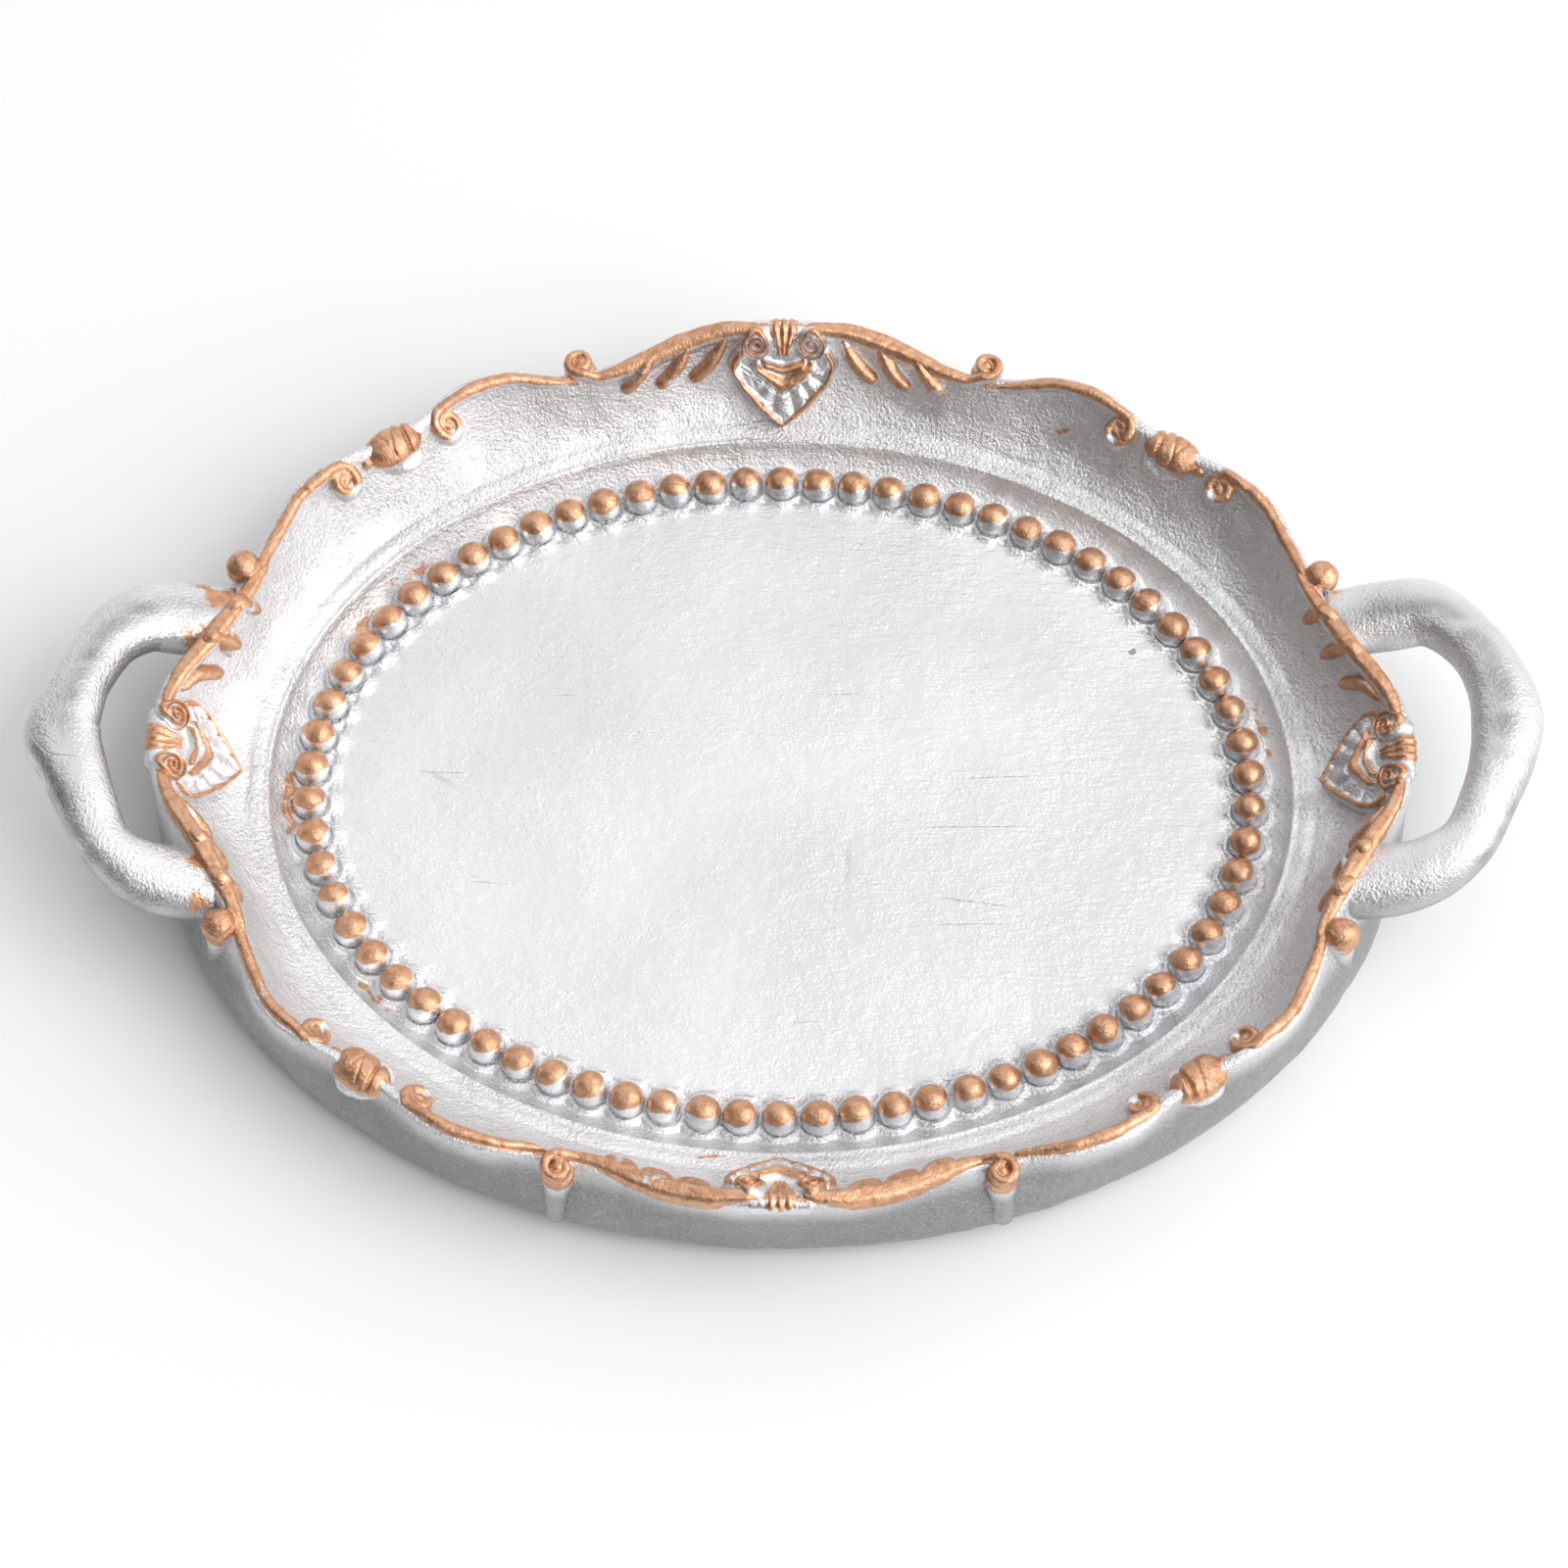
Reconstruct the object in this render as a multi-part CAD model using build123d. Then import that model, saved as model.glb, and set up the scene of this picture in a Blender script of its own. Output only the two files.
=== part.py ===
from build123d import *
from math import atan2, cos, degrees, hypot, pi, radians, sin
import os

# Oval serving tray with a scalloped rim, two bracket handles and applied relief ornament.
# Millimetres, +Z up, +X along the handles, origin under the middle of the tray on the table.

# ---- driving dimensions -------------------------------------------------------------------
BASE = (78.8, 61.3)  # half axes of the flat underside
SHOULDER = (81.6, 64.1)  # outside, low on the side wall
BELLY = (82.8, 65.3)  # outside, widest part of the side wall
BELLY_Z = 5.0
LAND_Z = 14.5  # flat top of the side wall, under the rim mouldings

FLOOR = (60.0, 44.8)  # half axes of the raised floor
FLOOR_Z = 4.0
CHANNEL_Z = 3.5  # shallow channel the beads sit in
COVE_FOOT = (65.2, 50.2)
COVE_MIDDLE = (66.9, 51.9)
COVE_MIDDLE_Z = 4.3
RIDGE = (68.2, 53.2)  # crisp edge at the top of the cove
RIDGE_Z = 6.6

BEAD_RING = (62.8, 47.63)
BEAD_COUNT = 70
BEAD_R = 2.35
BEAD_Z = 4.9

RIM_OUT = 1.0  # side wall and mouldings, outward from the crest line
RIM_IN = 1.6  # inward from the crest line
RING_POINTS = 72  # points round one closed section
SEAM_POINT = 6  # sections start here, clear of the cartouches
STRIP_STEP = 1.6  # degrees between sections of a rim moulding

# Crest of the rim in one quarter, from the handle end round to the long side.
CREST = [
    (82.0, 0.0, 18.8),
    (80.5, 8.0, 19.2),
    (75.6, 16.0, 19.0),
    (71.3, 24.0, 17.8),
    (68.4, 32.0, 16.9),
    (65.4, 38.2, 17.4),
    (61.0, 42.2, 17.9),
    (54.0, 46.2, 17.5),
    (49.0, 49.8, 17.5),
    (44.0, 54.3, 18.2),
    (37.5, 56.9, 17.9),
    (30.0, 57.5, 16.2),
    (23.0, 59.0, 16.5),
    (15.0, 62.4, 17.6),
    (8.0, 64.3, 18.8),
    (0.0, 64.5, 19.3),
]

# Bearings, in degrees from +X, where the rim mouldings of one quarter start and stop.
END_SCROLL = (4.6, 20.8)
CORNER_SCROLL = (20.8, 38.0)
MIDDLE_SCROLL = (44.4, 63.4)
LONG_SCROLL = (63.4, 84.6)

KNOB_AT = (72.4, 26.7, 16.9)
KNOB_R = 2.5
CORNER_CURL_AT = (58.6, 41.4, 14.6)
CORNER_CURL_R = 2.6
MIDDLE_CURL_AT = (46.9, 50.0, 14.6)
MIDDLE_CURL_R = 2.2
VOLUTE_AT = (27.9, 59.3)
VOLUTE_R = 2.0
VOLUTE_Z = (11.5, 17.4)

BUD_AT = (53.2, 46.7, 15.6)
BUD_HALF = (4.1, 2.7)

# Leaves on the inside of the rim: root x, y then tip x, y.
LONG_LEAVES = [
    (8.8, 62.5, 14.8, 57.7),
    (13.4, 61.2, 18.6, 57.0),
    (17.6, 59.6, 22.8, 55.8),
]
END_LEAVES = [
    (78.9, 8.2, 74.7, 12.4),
    (77.0, 13.2, 72.5, 16.6),
    (74.1, 18.3, 70.3, 21.6),
]
LEAF_HALF_WIDTH = 1.3
LEAF_LIFT = 0.7
LEAF_OVERRUN = 0.4

# Handle centre lines, back root to front root, given on the +X side: x, y, z, half width.
# The two castings differ a little; each has a blunt corner at the middle of its grip.
HANDLES = {
    "right": [
        (73.4, 20.6, 14.4, 4.6),
        (80.2, 21.1, 15.9, 4.9),
        (86.5, 20.6, 17.6, 4.6),
        (91.6, 15.3, 19.1, 3.8),
        (94.1, 9.4, 19.9, 4.2),
        (95.1, 3.4, 20.2, 4.8),
        (94.1, -2.4, 19.9, 4.3),
        (92.2, -7.6, 19.3, 3.8),
        (89.2, -13.5, 18.4, 3.7),
        (84.6, -16.8, 17.1, 4.4),
        (79.9, -17.9, 15.8, 4.8),
        (73.4, -18.4, 14.4, 4.5),
    ],
    "left": [
        (73.4, 19.4, 14.4, 4.8),
        (79.4, 19.2, 15.7, 5.0),
        (84.5, 18.5, 17.0, 4.8),
        (88.9, 14.6, 18.3, 4.1),
        (91.6, 8.9, 19.2, 3.8),
        (93.1, 4.0, 19.7, 4.3),
        (94.0, -0.3, 19.9, 5.1),
        (92.4, -5.0, 19.5, 4.5),
        (90.3, -10.0, 18.8, 4.0),
        (87.0, -16.0, 17.7, 3.6),
        (81.3, -19.4, 16.2, 4.6),
        (73.4, -20.0, 14.4, 4.6),
    ],
}
HANDLE_HALF_THICK = 3.5

# Shield of a cartouche: half width at the rim, widest, and how far in its point reaches.
SHIELD_TOP = 5.6
SHIELD_WIDE = 7.2
SHIELD_LONG = 10.0
SHIELD_PROUD = 1.6
SCROLL_R = 1.7
TRUNK = (2.6, 4.4)  # width and length of the fluted stem between the scrolls


# ---- curves -------------------------------------------------------------------------------
def full_crest():
    """Crest points all the way round, mirrored from the one quarter."""
    quarter = CREST
    left = [(-x, y, z) for x, y, z in reversed(quarter[:-1])]
    far_half = quarter + left
    near_half = [(x, -y, z) for x, y, z in reversed(far_half[1:-1])]
    return far_half + near_half


CREST_CURVE = Spline(*full_crest(), periodic=True)


def bearing(point):
    return degrees(atan2(point.Y, point.X)) % 360


def crest_at(angle):
    """Point on the crest and its outward direction, at a bearing within the first quarter."""
    low, high = 0.0, 0.25
    for _ in range(40):
        middle = (low + high) / 2
        if bearing(CREST_CURVE.position_at(middle)) < angle:
            low = middle
        else:
            high = middle
    point = CREST_CURVE.position_at(low)
    along = CREST_CURVE.tangent_at(low)
    size = hypot(along.X, along.Y)
    return point, Vector(along.Y / size, -along.X / size, 0)


def rim_radius(angle, shift):
    """Distance from the centre to the crest, moved outward by shift, at any bearing."""
    folded = abs((angle + 90) % 180 - 90)
    point, outward = crest_at(min(max(folded, 0.0), 90.0))
    moved = point + outward * shift
    return hypot(moved.X, moved.Y)


def oval_radius(angle, axes):
    a, b = axes
    return a * b / hypot(b * cos(radians(angle)), a * sin(radians(angle)))


def bearings():
    """Bearings of the section points, spread evenly along an oval of the belly's shape."""
    for k in range(RING_POINTS):
        u = 2 * pi * (k + SEAM_POINT) / RING_POINTS
        yield degrees(atan2(BELLY[1] * sin(u), BELLY[0] * cos(u)))


ANGLES = list(bearings())
RIM_OUTSIDE = [rim_radius(a, RIM_OUT) for a in ANGLES]
RIM_INSIDE = [rim_radius(a, -RIM_IN) for a in ANGLES]


def section(z, radii):
    points = [(r * cos(radians(a)), r * sin(radians(a)), z) for a, r in zip(ANGLES, radii)]
    return Face(Wire([Edge.make_spline(points, periodic=True)]))


def oval(z, axes):
    return section(z, [oval_radius(a, axes) for a in ANGLES])


def between(z, axes, rim, share):
    """Section part of the way from an oval to the scalloped rim."""
    radii = [(1 - share) * oval_radius(a, axes) + share * r for a, r in zip(ANGLES, rim)]
    return section(z, radii)


def rise(share):
    """Height of the dished inner wall, as a fraction, against how far out it has come."""
    return 0.24 * share + 0.76 * share**3.2


def wall_z(x, y):
    """Height of the inner wall above a plan position."""
    angle = degrees(atan2(y, x))
    start = oval_radius(angle, RIDGE)
    stop = rim_radius(angle, -RIM_IN)
    share = (hypot(x, y) - start) / (stop - start)
    return RIDGE_Z + (LAND_Z - RIDGE_Z) * rise(min(max(share, 0.0), 1.0))


# ---- tray body ----------------------------------------------------------------------------
def make_outside():
    sections = [
        oval(0, BASE),
        oval(1.4, SHOULDER),
        oval(BELLY_Z, BELLY),
        between(9.5, BELLY, RIM_OUTSIDE, 0.5),
        between(LAND_Z, BELLY, RIM_OUTSIDE, 1.0),
    ]
    return loft(sections)


def make_cove():
    return loft([oval(CHANNEL_Z, COVE_FOOT), oval(COVE_MIDDLE_Z, COVE_MIDDLE), oval(RIDGE_Z, RIDGE)])


def make_dish():
    sections = []
    for share in (0.0, 0.35, 0.6, 0.8, 0.92, 1.0):
        z = RIDGE_Z + (LAND_Z - RIDGE_Z) * rise(share)
        sections.append(between(z, RIDGE, RIM_INSIDE, share))
    return loft(sections)


def make_tray_body():
    body = make_outside() - make_cove() - make_dish()
    floor = extrude(Pos(0, 0, CHANNEL_Z - 0.5) * Ellipse(*FLOOR), FLOOR_Z - CHANNEL_Z + 0.5)
    return body + floor


# ---- beads --------------------------------------------------------------------------------
def make_bead_ring():
    path = Ellipse(*BEAD_RING).edge()
    below = Pos(0, 0, CHANNEL_Z - 5) * Box(300, 300, 10)
    bead = Pos(0, 0, BEAD_Z) * Sphere(BEAD_R) - below
    beads = []
    for k in range(BEAD_COUNT):
        spot = path.position_at((k + 0.5) / BEAD_COUNT)
        beads.append(Pos(spot.X, spot.Y, 0) * bead)
    return beads


# ---- rim mouldings ------------------------------------------------------------------------
def strip_section(angle):
    """Rounded moulding profile standing on the land, square to the crest."""
    point, outward = crest_at(angle)

    def at(across, z):
        return Vector(point.X, point.Y, 0) + outward * across + Vector(0, 0, z)

    top = point.Z
    foot_in = at(-RIM_IN, LAND_Z)
    foot_out = at(RIM_OUT, LAND_Z)
    side_out = at(RIM_OUT, LAND_Z + 0.45 * (top - LAND_Z))
    side_in = at(-RIM_IN, LAND_Z + 0.25 * (top - LAND_Z))
    crown = ThreePointArc(side_out, at(-0.1, top), side_in)
    edges = [Line(foot_in, foot_out), Line(foot_out, side_out), crown, Line(side_in, foot_in)]
    return Face(Wire(edges))


def make_strip(start, stop):
    count = max(3, round((stop - start) / STRIP_STEP))
    faces = [strip_section(start + (stop - start) * k / count) for k in range(count + 1)]
    return loft(faces)


def ball(at, radius):
    return Pos(*at) * Sphere(radius)


def spindle(half_length, half_width):
    """Ellipsoid of revolution lying along X."""
    profile = make_face([
        EllipticalCenterArc((0, 0), half_length, half_width, start_angle=0, arc_size=180),
        Line((-half_length, 0), (half_length, 0)),
    ])
    return revolve(profile, Axis.X)


def make_end_scroll():
    x, y, z = KNOB_AT
    neck = Pos(x, y, (11.0 + z) / 2) * Cylinder(KNOB_R * 0.8, z - 11.0)
    return make_strip(*END_SCROLL) + ball(KNOB_AT, KNOB_R) + neck


def make_corner_scroll():
    return make_strip(*CORNER_SCROLL) + ball(CORNER_CURL_AT, CORNER_CURL_R)


def make_middle_scroll():
    return make_strip(*MIDDLE_SCROLL) + ball(MIDDLE_CURL_AT, MIDDLE_CURL_R)


def make_long_scroll():
    low, high = VOLUTE_Z
    post = Pos(*VOLUTE_AT, (low + high) / 2) * Cylinder(VOLUTE_R, high - low)
    post = fillet(post.edges().group_by(Axis.Z)[-1], 1.2)
    return make_strip(*LONG_SCROLL) + post


def make_bud():
    """Fat bud lying along the crest, flat underneath where it sits on the land."""
    x, y, z = BUD_AT
    _, outward = crest_at(degrees(atan2(y, x)))
    heading = degrees(atan2(outward.X, -outward.Y))
    bud = Pos(x, y, z) * Rot(0, 0, heading) * spindle(*BUD_HALF)
    return bud - Pos(x, y, LAND_Z - 10) * Box(20, 20, 20)


def make_leaves(leaves):
    """Slim leaves lying half in the inner wall, still to be trimmed to the hollow."""
    made = []
    for x0, y0, x1, y1 in leaves:
        start = Vector(x0, y0, wall_z(x0, y0) + LEAF_LIFT)
        end = Vector(x1, y1, wall_z(x1, y1) + LEAF_LIFT)
        run = end - start
        place = Plane(origin=(start + end) / 2, x_dir=run, z_dir=run.cross(Vector(-run.Y, run.X, 0)))
        made.append(place * spindle(run.length / 2 + LEAF_OVERRUN, LEAF_HALF_WIDTH))
    return made


# ---- cartouches ---------------------------------------------------------------------------
def make_cartouche(reach, top_z, foot_z):
    """Shield on the inner wall, built on the +Y side; reach is where the crest stands."""
    foot = reach - SHIELD_LONG
    half = [(0, foot), (SHIELD_WIDE * 0.62, foot + 2.2), (SHIELD_WIDE, foot + 5.4), (SHIELD_TOP, reach)]
    right = Spline(*half)
    outline = make_face([right, mirror(right, Plane.YZ), Line((SHIELD_TOP, reach), (-SHIELD_TOP, reach))])
    block = extrude(outline, 30)
    lean = degrees(atan2(top_z - foot_z, SHIELD_LONG))
    middle = (0, foot + SHIELD_LONG / 2, (top_z + foot_z) / 2)
    leaning = Pos(*middle) * Rot(lean, 0, 0)
    plate = (leaning * Pos(0, 0, -6 + SHIELD_PROUD / 2) * Box(40, 40, 12)) & block
    swell = leaning * Rot(0, 0, 90) * spindle(SHIELD_LONG * 0.5, 3.4)
    scrolls = [leaning * Pos(s * 3.6, 4.4, 0.2) * Cylinder(SCROLL_R, 4.4) for s in (1, -1)]
    stem = leaning * Pos(0, 4.2, 0.6) * Box(TRUNK[0], TRUNK[1], 3.2)
    return plate + (swell & block) + scrolls + stem


# ---- handles ------------------------------------------------------------------------------
def make_handle(stations):
    """Bracket handle on the +X side, one smooth bar from wall to wall."""
    last = len(stations) - 1
    faces = []
    for k, (x, y, z, width) in enumerate(stations):
        before = Vector(*stations[max(k - 1, 0)][:3])
        after = Vector(*stations[min(k + 1, last)][:3])
        along = after - before
        across = along.cross(Vector(0, 0, 1))
        station = Plane(origin=(x, y, z), x_dir=across, z_dir=along)
        faces.append(station * Ellipse(width, HANDLE_HALF_THICK))
    inside = extrude(section(0, [rim_radius(a, 0.0) for a in ANGLES]), 40)
    return loft(faces) - inside


# ---- assembly -----------------------------------------------------------------------------
def solids_of(shape):
    """Solids in a shape or list of shapes, without slivers left by a cut."""
    shapes = shape if isinstance(shape, (list, tuple)) else [shape]
    found = [solid for item in shapes for solid in item.solids()]
    return [solid for solid in found if solid.volume > 0.5]


def save(name, shape):
    solids = solids_of(shape)
    whole = solids[0] if len(solids) == 1 else Compound(children=solids)
    export_step(whole, f"parts/{name}.step")


def flipped(shape, flip_x, flip_y):
    out = solids_of(shape)
    if flip_x:
        out = [mirror(item, Plane.YZ) for item in out]
    if flip_y:
        out = [mirror(item, Plane.XZ) for item in out]
    return out


def trimmed(solids, others):
    """Each solid with the others cut away."""
    out = []
    for item in solids:
        for other in others:
            item = item - other
        out.append(item)
    return solids_of(out)


def main():
    os.makedirs("parts", exist_ok=True)
    body = make_tray_body()
    above_land = extrude(section(LAND_Z, [rim_radius(a, -RIM_IN - 0.2) for a in ANGLES]), 10)
    hollow = make_dish() + above_land
    save("tray_body", body)
    save("bead_ring", make_bead_ring())

    long_shield = make_cartouche(64.9, 19.2, 9.4)
    end_shield = Rot(0, 0, -90) * make_cartouche(82.4, 18.9, 9.4)
    cartouches = {}
    for side, flip_y in (("back", False), ("front", True)):
        cartouches[side] = trimmed(flipped(long_shield, False, flip_y), [body])
    for side, flip_x in (("right", False), ("left", True)):
        cartouches[side] = trimmed(flipped(end_shield, flip_x, False), [body])
    for side, solids in cartouches.items():
        save(f"cartouche_{side}", solids)

    end_raw = make_end_scroll()
    corner_raw = make_corner_scroll() - end_raw
    middle_raw = make_middle_scroll()
    long_raw = make_long_scroll() - middle_raw
    bud_raw = make_bud() - corner_raw - middle_raw
    long_leaves = make_leaves(LONG_LEAVES)
    end_leaves = make_leaves(END_LEAVES)
    end_scrolls = {"right": [], "left": []}
    for side, flip_y in (("back", False), ("front", True)):
        for hand, flip_x in (("right", False), ("left", True)):
            where = f"{side}_{hand}"
            end_scroll = trimmed(flipped(end_raw, flip_x, flip_y), [body, *cartouches[hand]])
            long_scroll = trimmed(flipped(long_raw, flip_x, flip_y), [body, *cartouches[side]])
            save(f"rim_scroll_end_{where}", end_scroll)
            save(f"rim_scroll_corner_{where}", trimmed(flipped(corner_raw, flip_x, flip_y), [body]))
            save(f"rim_scroll_middle_{where}", trimmed(flipped(middle_raw, flip_x, flip_y), [body]))
            save(f"rim_scroll_long_{where}", long_scroll)
            save(f"bud_{where}", flipped(bud_raw, flip_x, flip_y))
            for name, leaves in (("leaves_long", long_leaves), ("leaves_end", end_leaves)):
                inner = [leaf & hollow for leaf in flipped(leaves, flip_x, flip_y)]
                save(f"{name}_{where}", trimmed(solids_of(inner), end_scroll + long_scroll))
            end_scrolls[hand] += end_scroll

    for hand, flip_x in (("right", False), ("left", True)):
        handle = flipped(make_handle(HANDLES[hand]), flip_x, False)
        save(f"handle_{hand}", trimmed(handle, [body, *end_scrolls[hand]]))


main()
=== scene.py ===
"""Dresser vanity tray: detailed meshes, paint materials, studio and camera around the CAD frame."""
import math

import bpy
import numpy as np
from mathutils import Matrix, Vector


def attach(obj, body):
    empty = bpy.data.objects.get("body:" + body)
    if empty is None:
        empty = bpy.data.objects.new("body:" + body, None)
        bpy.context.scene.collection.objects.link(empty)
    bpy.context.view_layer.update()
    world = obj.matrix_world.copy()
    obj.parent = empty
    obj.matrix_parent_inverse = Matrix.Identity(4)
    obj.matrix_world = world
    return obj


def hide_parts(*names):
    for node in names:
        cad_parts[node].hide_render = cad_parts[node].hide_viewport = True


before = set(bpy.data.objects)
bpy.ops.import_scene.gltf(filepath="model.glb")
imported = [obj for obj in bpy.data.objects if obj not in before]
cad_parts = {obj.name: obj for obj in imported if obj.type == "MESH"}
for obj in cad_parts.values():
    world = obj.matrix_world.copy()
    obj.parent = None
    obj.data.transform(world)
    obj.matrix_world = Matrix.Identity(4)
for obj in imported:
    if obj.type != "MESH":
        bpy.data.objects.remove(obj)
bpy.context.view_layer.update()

MM = 0.001
RNG = np.random.default_rng(11)

# ---- dimensions, in millimetres, as in the CAD part ---------------------------------------
BASE = (78.8, 61.3)
BELLY = (82.8, 65.3)
BELLY_Z = 5.0
FLOOR = (60.0, 44.8)
FLOOR_Z = 4.0
CHANNEL_Z = 3.5
COVE_FOOT = (65.2, 50.2)
RIDGE = (68.2, 53.2)
RIDGE_Z = 6.6
BEAD_RING = (62.8, 47.63)
BEAD_COUNT = 70
BEAD_R = 2.35
BEAD_Z = 4.9
CREST = [
    (82.0, 0.0, 18.8), (80.5, 8.0, 19.2), (75.6, 16.0, 19.0), (71.3, 24.0, 17.8),
    (68.4, 32.0, 16.9), (65.4, 38.2, 17.4), (61.0, 42.2, 17.9), (54.0, 46.2, 17.5),
    (49.0, 49.8, 17.5), (44.0, 54.3, 18.2), (37.5, 56.9, 17.9), (30.0, 57.5, 16.2),
    (23.0, 59.0, 16.5), (15.0, 62.4, 17.6), (8.0, 64.3, 18.8), (0.0, 64.5, 19.3),
]
# Handle centre lines, back root to front root, given on the +X side: x, y, z, half width.
HANDLES = {
    "right": [
        (73.4, 20.6, 14.4, 4.6), (80.2, 21.1, 15.9, 4.9), (86.5, 20.6, 17.6, 4.6),
        (91.6, 15.3, 19.1, 3.8), (94.1, 9.4, 19.9, 4.2), (95.1, 3.4, 20.2, 4.8),
        (94.1, -2.4, 19.9, 4.3), (92.2, -7.6, 19.3, 3.8), (89.2, -13.5, 18.4, 3.7),
        (84.6, -16.8, 17.1, 4.4), (79.9, -17.9, 15.8, 4.8), (73.4, -18.4, 14.4, 4.5),
    ],
    "left": [
        (73.4, 19.4, 14.4, 4.8), (79.4, 19.2, 15.7, 5.0), (84.5, 18.5, 17.0, 4.8),
        (88.9, 14.6, 18.3, 4.1), (91.6, 8.9, 19.2, 3.8), (93.1, 4.0, 19.7, 4.3),
        (94.0, -0.3, 19.9, 5.1), (92.4, -5.0, 19.5, 4.5), (90.3, -10.0, 18.8, 4.0),
        (87.0, -16.0, 17.7, 3.6), (81.3, -19.4, 16.2, 4.6), (73.4, -20.0, 14.4, 4.6),
    ],
}
HANDLE_HALF_THICK = 3.5
HANDLE_AROUND = 56
HANDLE_HOLE = (86.0, 0.0, 0.0)

# Features of the border in the back right quarter: x, y, z.
KNOB = (72.3, 26.6, 16.9)
KNOB_R = 2.35
CORNER_CURL = (59.4, 40.8, 16.7)
MIDDLE_CURL = (45.7, 50.1, 16.5)
CURL_R = 1.9
CURL_TILT = 0.72
VOLUTE = (27.9, 59.6, 16.4)
BUD = (53.0, 46.6, 15.5)
BUD_ALONG = (0.80, -0.60, 0.0)
BUD_SIDE = (0.60, 0.80, 0.0)
BUD_HALF = (4.15, 2.75, 2.35)

# Cartouches: (reach, z) of the shield's point and of the bend over the crest.
LONG_SHIELD = ((55.4, 7.5), (63.9, 17.9))
END_SHIELD = ((72.2, 8.0), (81.3, 17.7))

# Leaves on the inside of the rim: root x, y, tip x, y, half width.
LONG_LEAVES = [
    (7.8, 63.7, 12.9, 59.9, 1.15),
    (12.8, 62.8, 17.5, 58.6, 1.15),
    (17.6, 61.3, 22.2, 57.3, 1.1),
]
END_LEAVES = [
    (79.3, 7.6, 74.6, 12.5, 1.15),
    (77.4, 12.6, 72.3, 16.7, 1.15),
    (74.5, 17.8, 70.1, 21.7, 1.1),
]


# ---- small numeric helpers ----------------------------------------------------------------
def smooth(low, high, value):
    t = np.clip((value - low) / (high - low), 0.0, 1.0)
    return t * t * (3 - 2 * t)


def bump_at(value, centre, width):
    return np.exp(-(((value - centre) / width) ** 2))


LATTICE = RNG.random((32, 32, 32))


def soft_noise(points, size):
    """Smooth value noise from -1 to 1; size is the length of one lump, in the points' unit."""
    p = np.asarray(points, float) / size
    cell = np.floor(p).astype(int)
    f = p - cell
    f = f * f * (3 - 2 * f)
    total = 0.0
    for corner in range(8):
        step = np.array([corner & 1, corner >> 1 & 1, corner >> 2 & 1])
        weight = np.prod(np.where(step, f, 1 - f), axis=-1)
        index = (cell + step) % 32
        total = total + weight * LATTICE[index[..., 0], index[..., 1], index[..., 2]]
    return total * 2 - 1


def catmull(points, per_span, closed=False):
    """Smooth curve through points, with per_span samples between neighbours."""
    p = np.array(points, float)
    if closed:
        p = np.vstack([p[-1:], p, p[:2]])
    else:
        p = np.vstack([2 * p[0] - p[1], p, 2 * p[-1] - p[-2]])
    out = []
    for a, b, c, d in zip(p[:-3], p[1:-2], p[2:-1], p[3:]):
        for t in np.arange(per_span) / per_span:
            out.append(0.5 * (2 * b + (c - a) * t + (2 * a - 5 * b + 4 * c - d) * t**2
                              + (3 * b - a - 3 * c + d) * t**3))
    if not closed:
        out.append(p[-2])
    return np.array(out)


# ---- crest of the rim ---------------------------------------------------------------------
def crest_table():
    quarter = [np.array(q) for q in CREST]
    far = quarter + [q * (-1, 1, 1) for q in reversed(quarter[:-1])]
    ring = far + [q * (1, -1, 1) for q in reversed(far[1:-1])]
    loop = catmull(ring, 24, closed=True)
    along = np.roll(loop, -1, 0) - np.roll(loop, 1, 0)
    out = np.c_[along[:, 1], -along[:, 0]]
    out /= np.linalg.norm(out, axis=1)[:, None]
    turn = np.degrees(np.arctan2(loop[:, 1], loop[:, 0]))
    keep = (turn > -3) & (turn < 93)
    order = np.argsort(turn[keep])
    return turn[keep][order], loop[keep][order], out[keep][order]


TURN, LOOP, OUTWARD = crest_table()


def crest(turn):
    """Crest points and outward directions at bearings in degrees, anywhere round the rim."""
    turn = np.atleast_1d(np.asarray(turn, float)) % 360
    folded = np.abs((turn + 90) % 180 - 90)
    sx = np.where((turn > 90) & (turn < 270), -1.0, 1.0)
    sy = np.where(turn > 180, -1.0, 1.0)
    point = np.stack([np.interp(folded, TURN, LOOP[:, k]) for k in range(3)], -1)
    out = np.stack([np.interp(folded, TURN, OUTWARD[:, k]) for k in range(2)], -1)
    point[:, 0] *= sx
    point[:, 1] *= sy
    out[:, 0] *= sx
    out[:, 1] *= sy
    return point, out


def oval(turn, axes):
    t = np.radians(turn)
    return axes[0] * axes[1] / np.hypot(axes[1] * np.cos(t), axes[0] * np.sin(t))


# Silver lip over the crest: distance outward from the crest line and depth below it.
CREST_ROLL = [
    (-0.7, 0.66), (-0.4, 0.46), (0.0, 0.34), (0.35, 0.34), (0.6, 0.44), (0.8, 0.66), (0.95, 0.95),
]
WALL_IN = 0.9


def rise(share):
    """How far up the inner wall has come, from ridge to rim, at a share of its width."""
    return 0.24 * share + 0.76 * share**3.2


def wall_top(turn):
    """Radius and height where the inner wall reaches the rim mouldings."""
    point, out = crest(turn)
    inner = point[:, :2] - out * WALL_IN
    return np.hypot(inner[:, 0], inner[:, 1]), point[:, 2] - WALL_IN


def wall_z(x, y):
    """Height of the inner wall above plan positions."""
    turn = np.degrees(np.arctan2(y, x))
    start = oval(turn, RIDGE)
    stop, top = wall_top(turn)
    share = np.clip((np.hypot(x, y) - start) / (stop - start), 0, 1)
    return RIDGE_Z + (top - RIDGE_Z) * rise(share)


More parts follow.
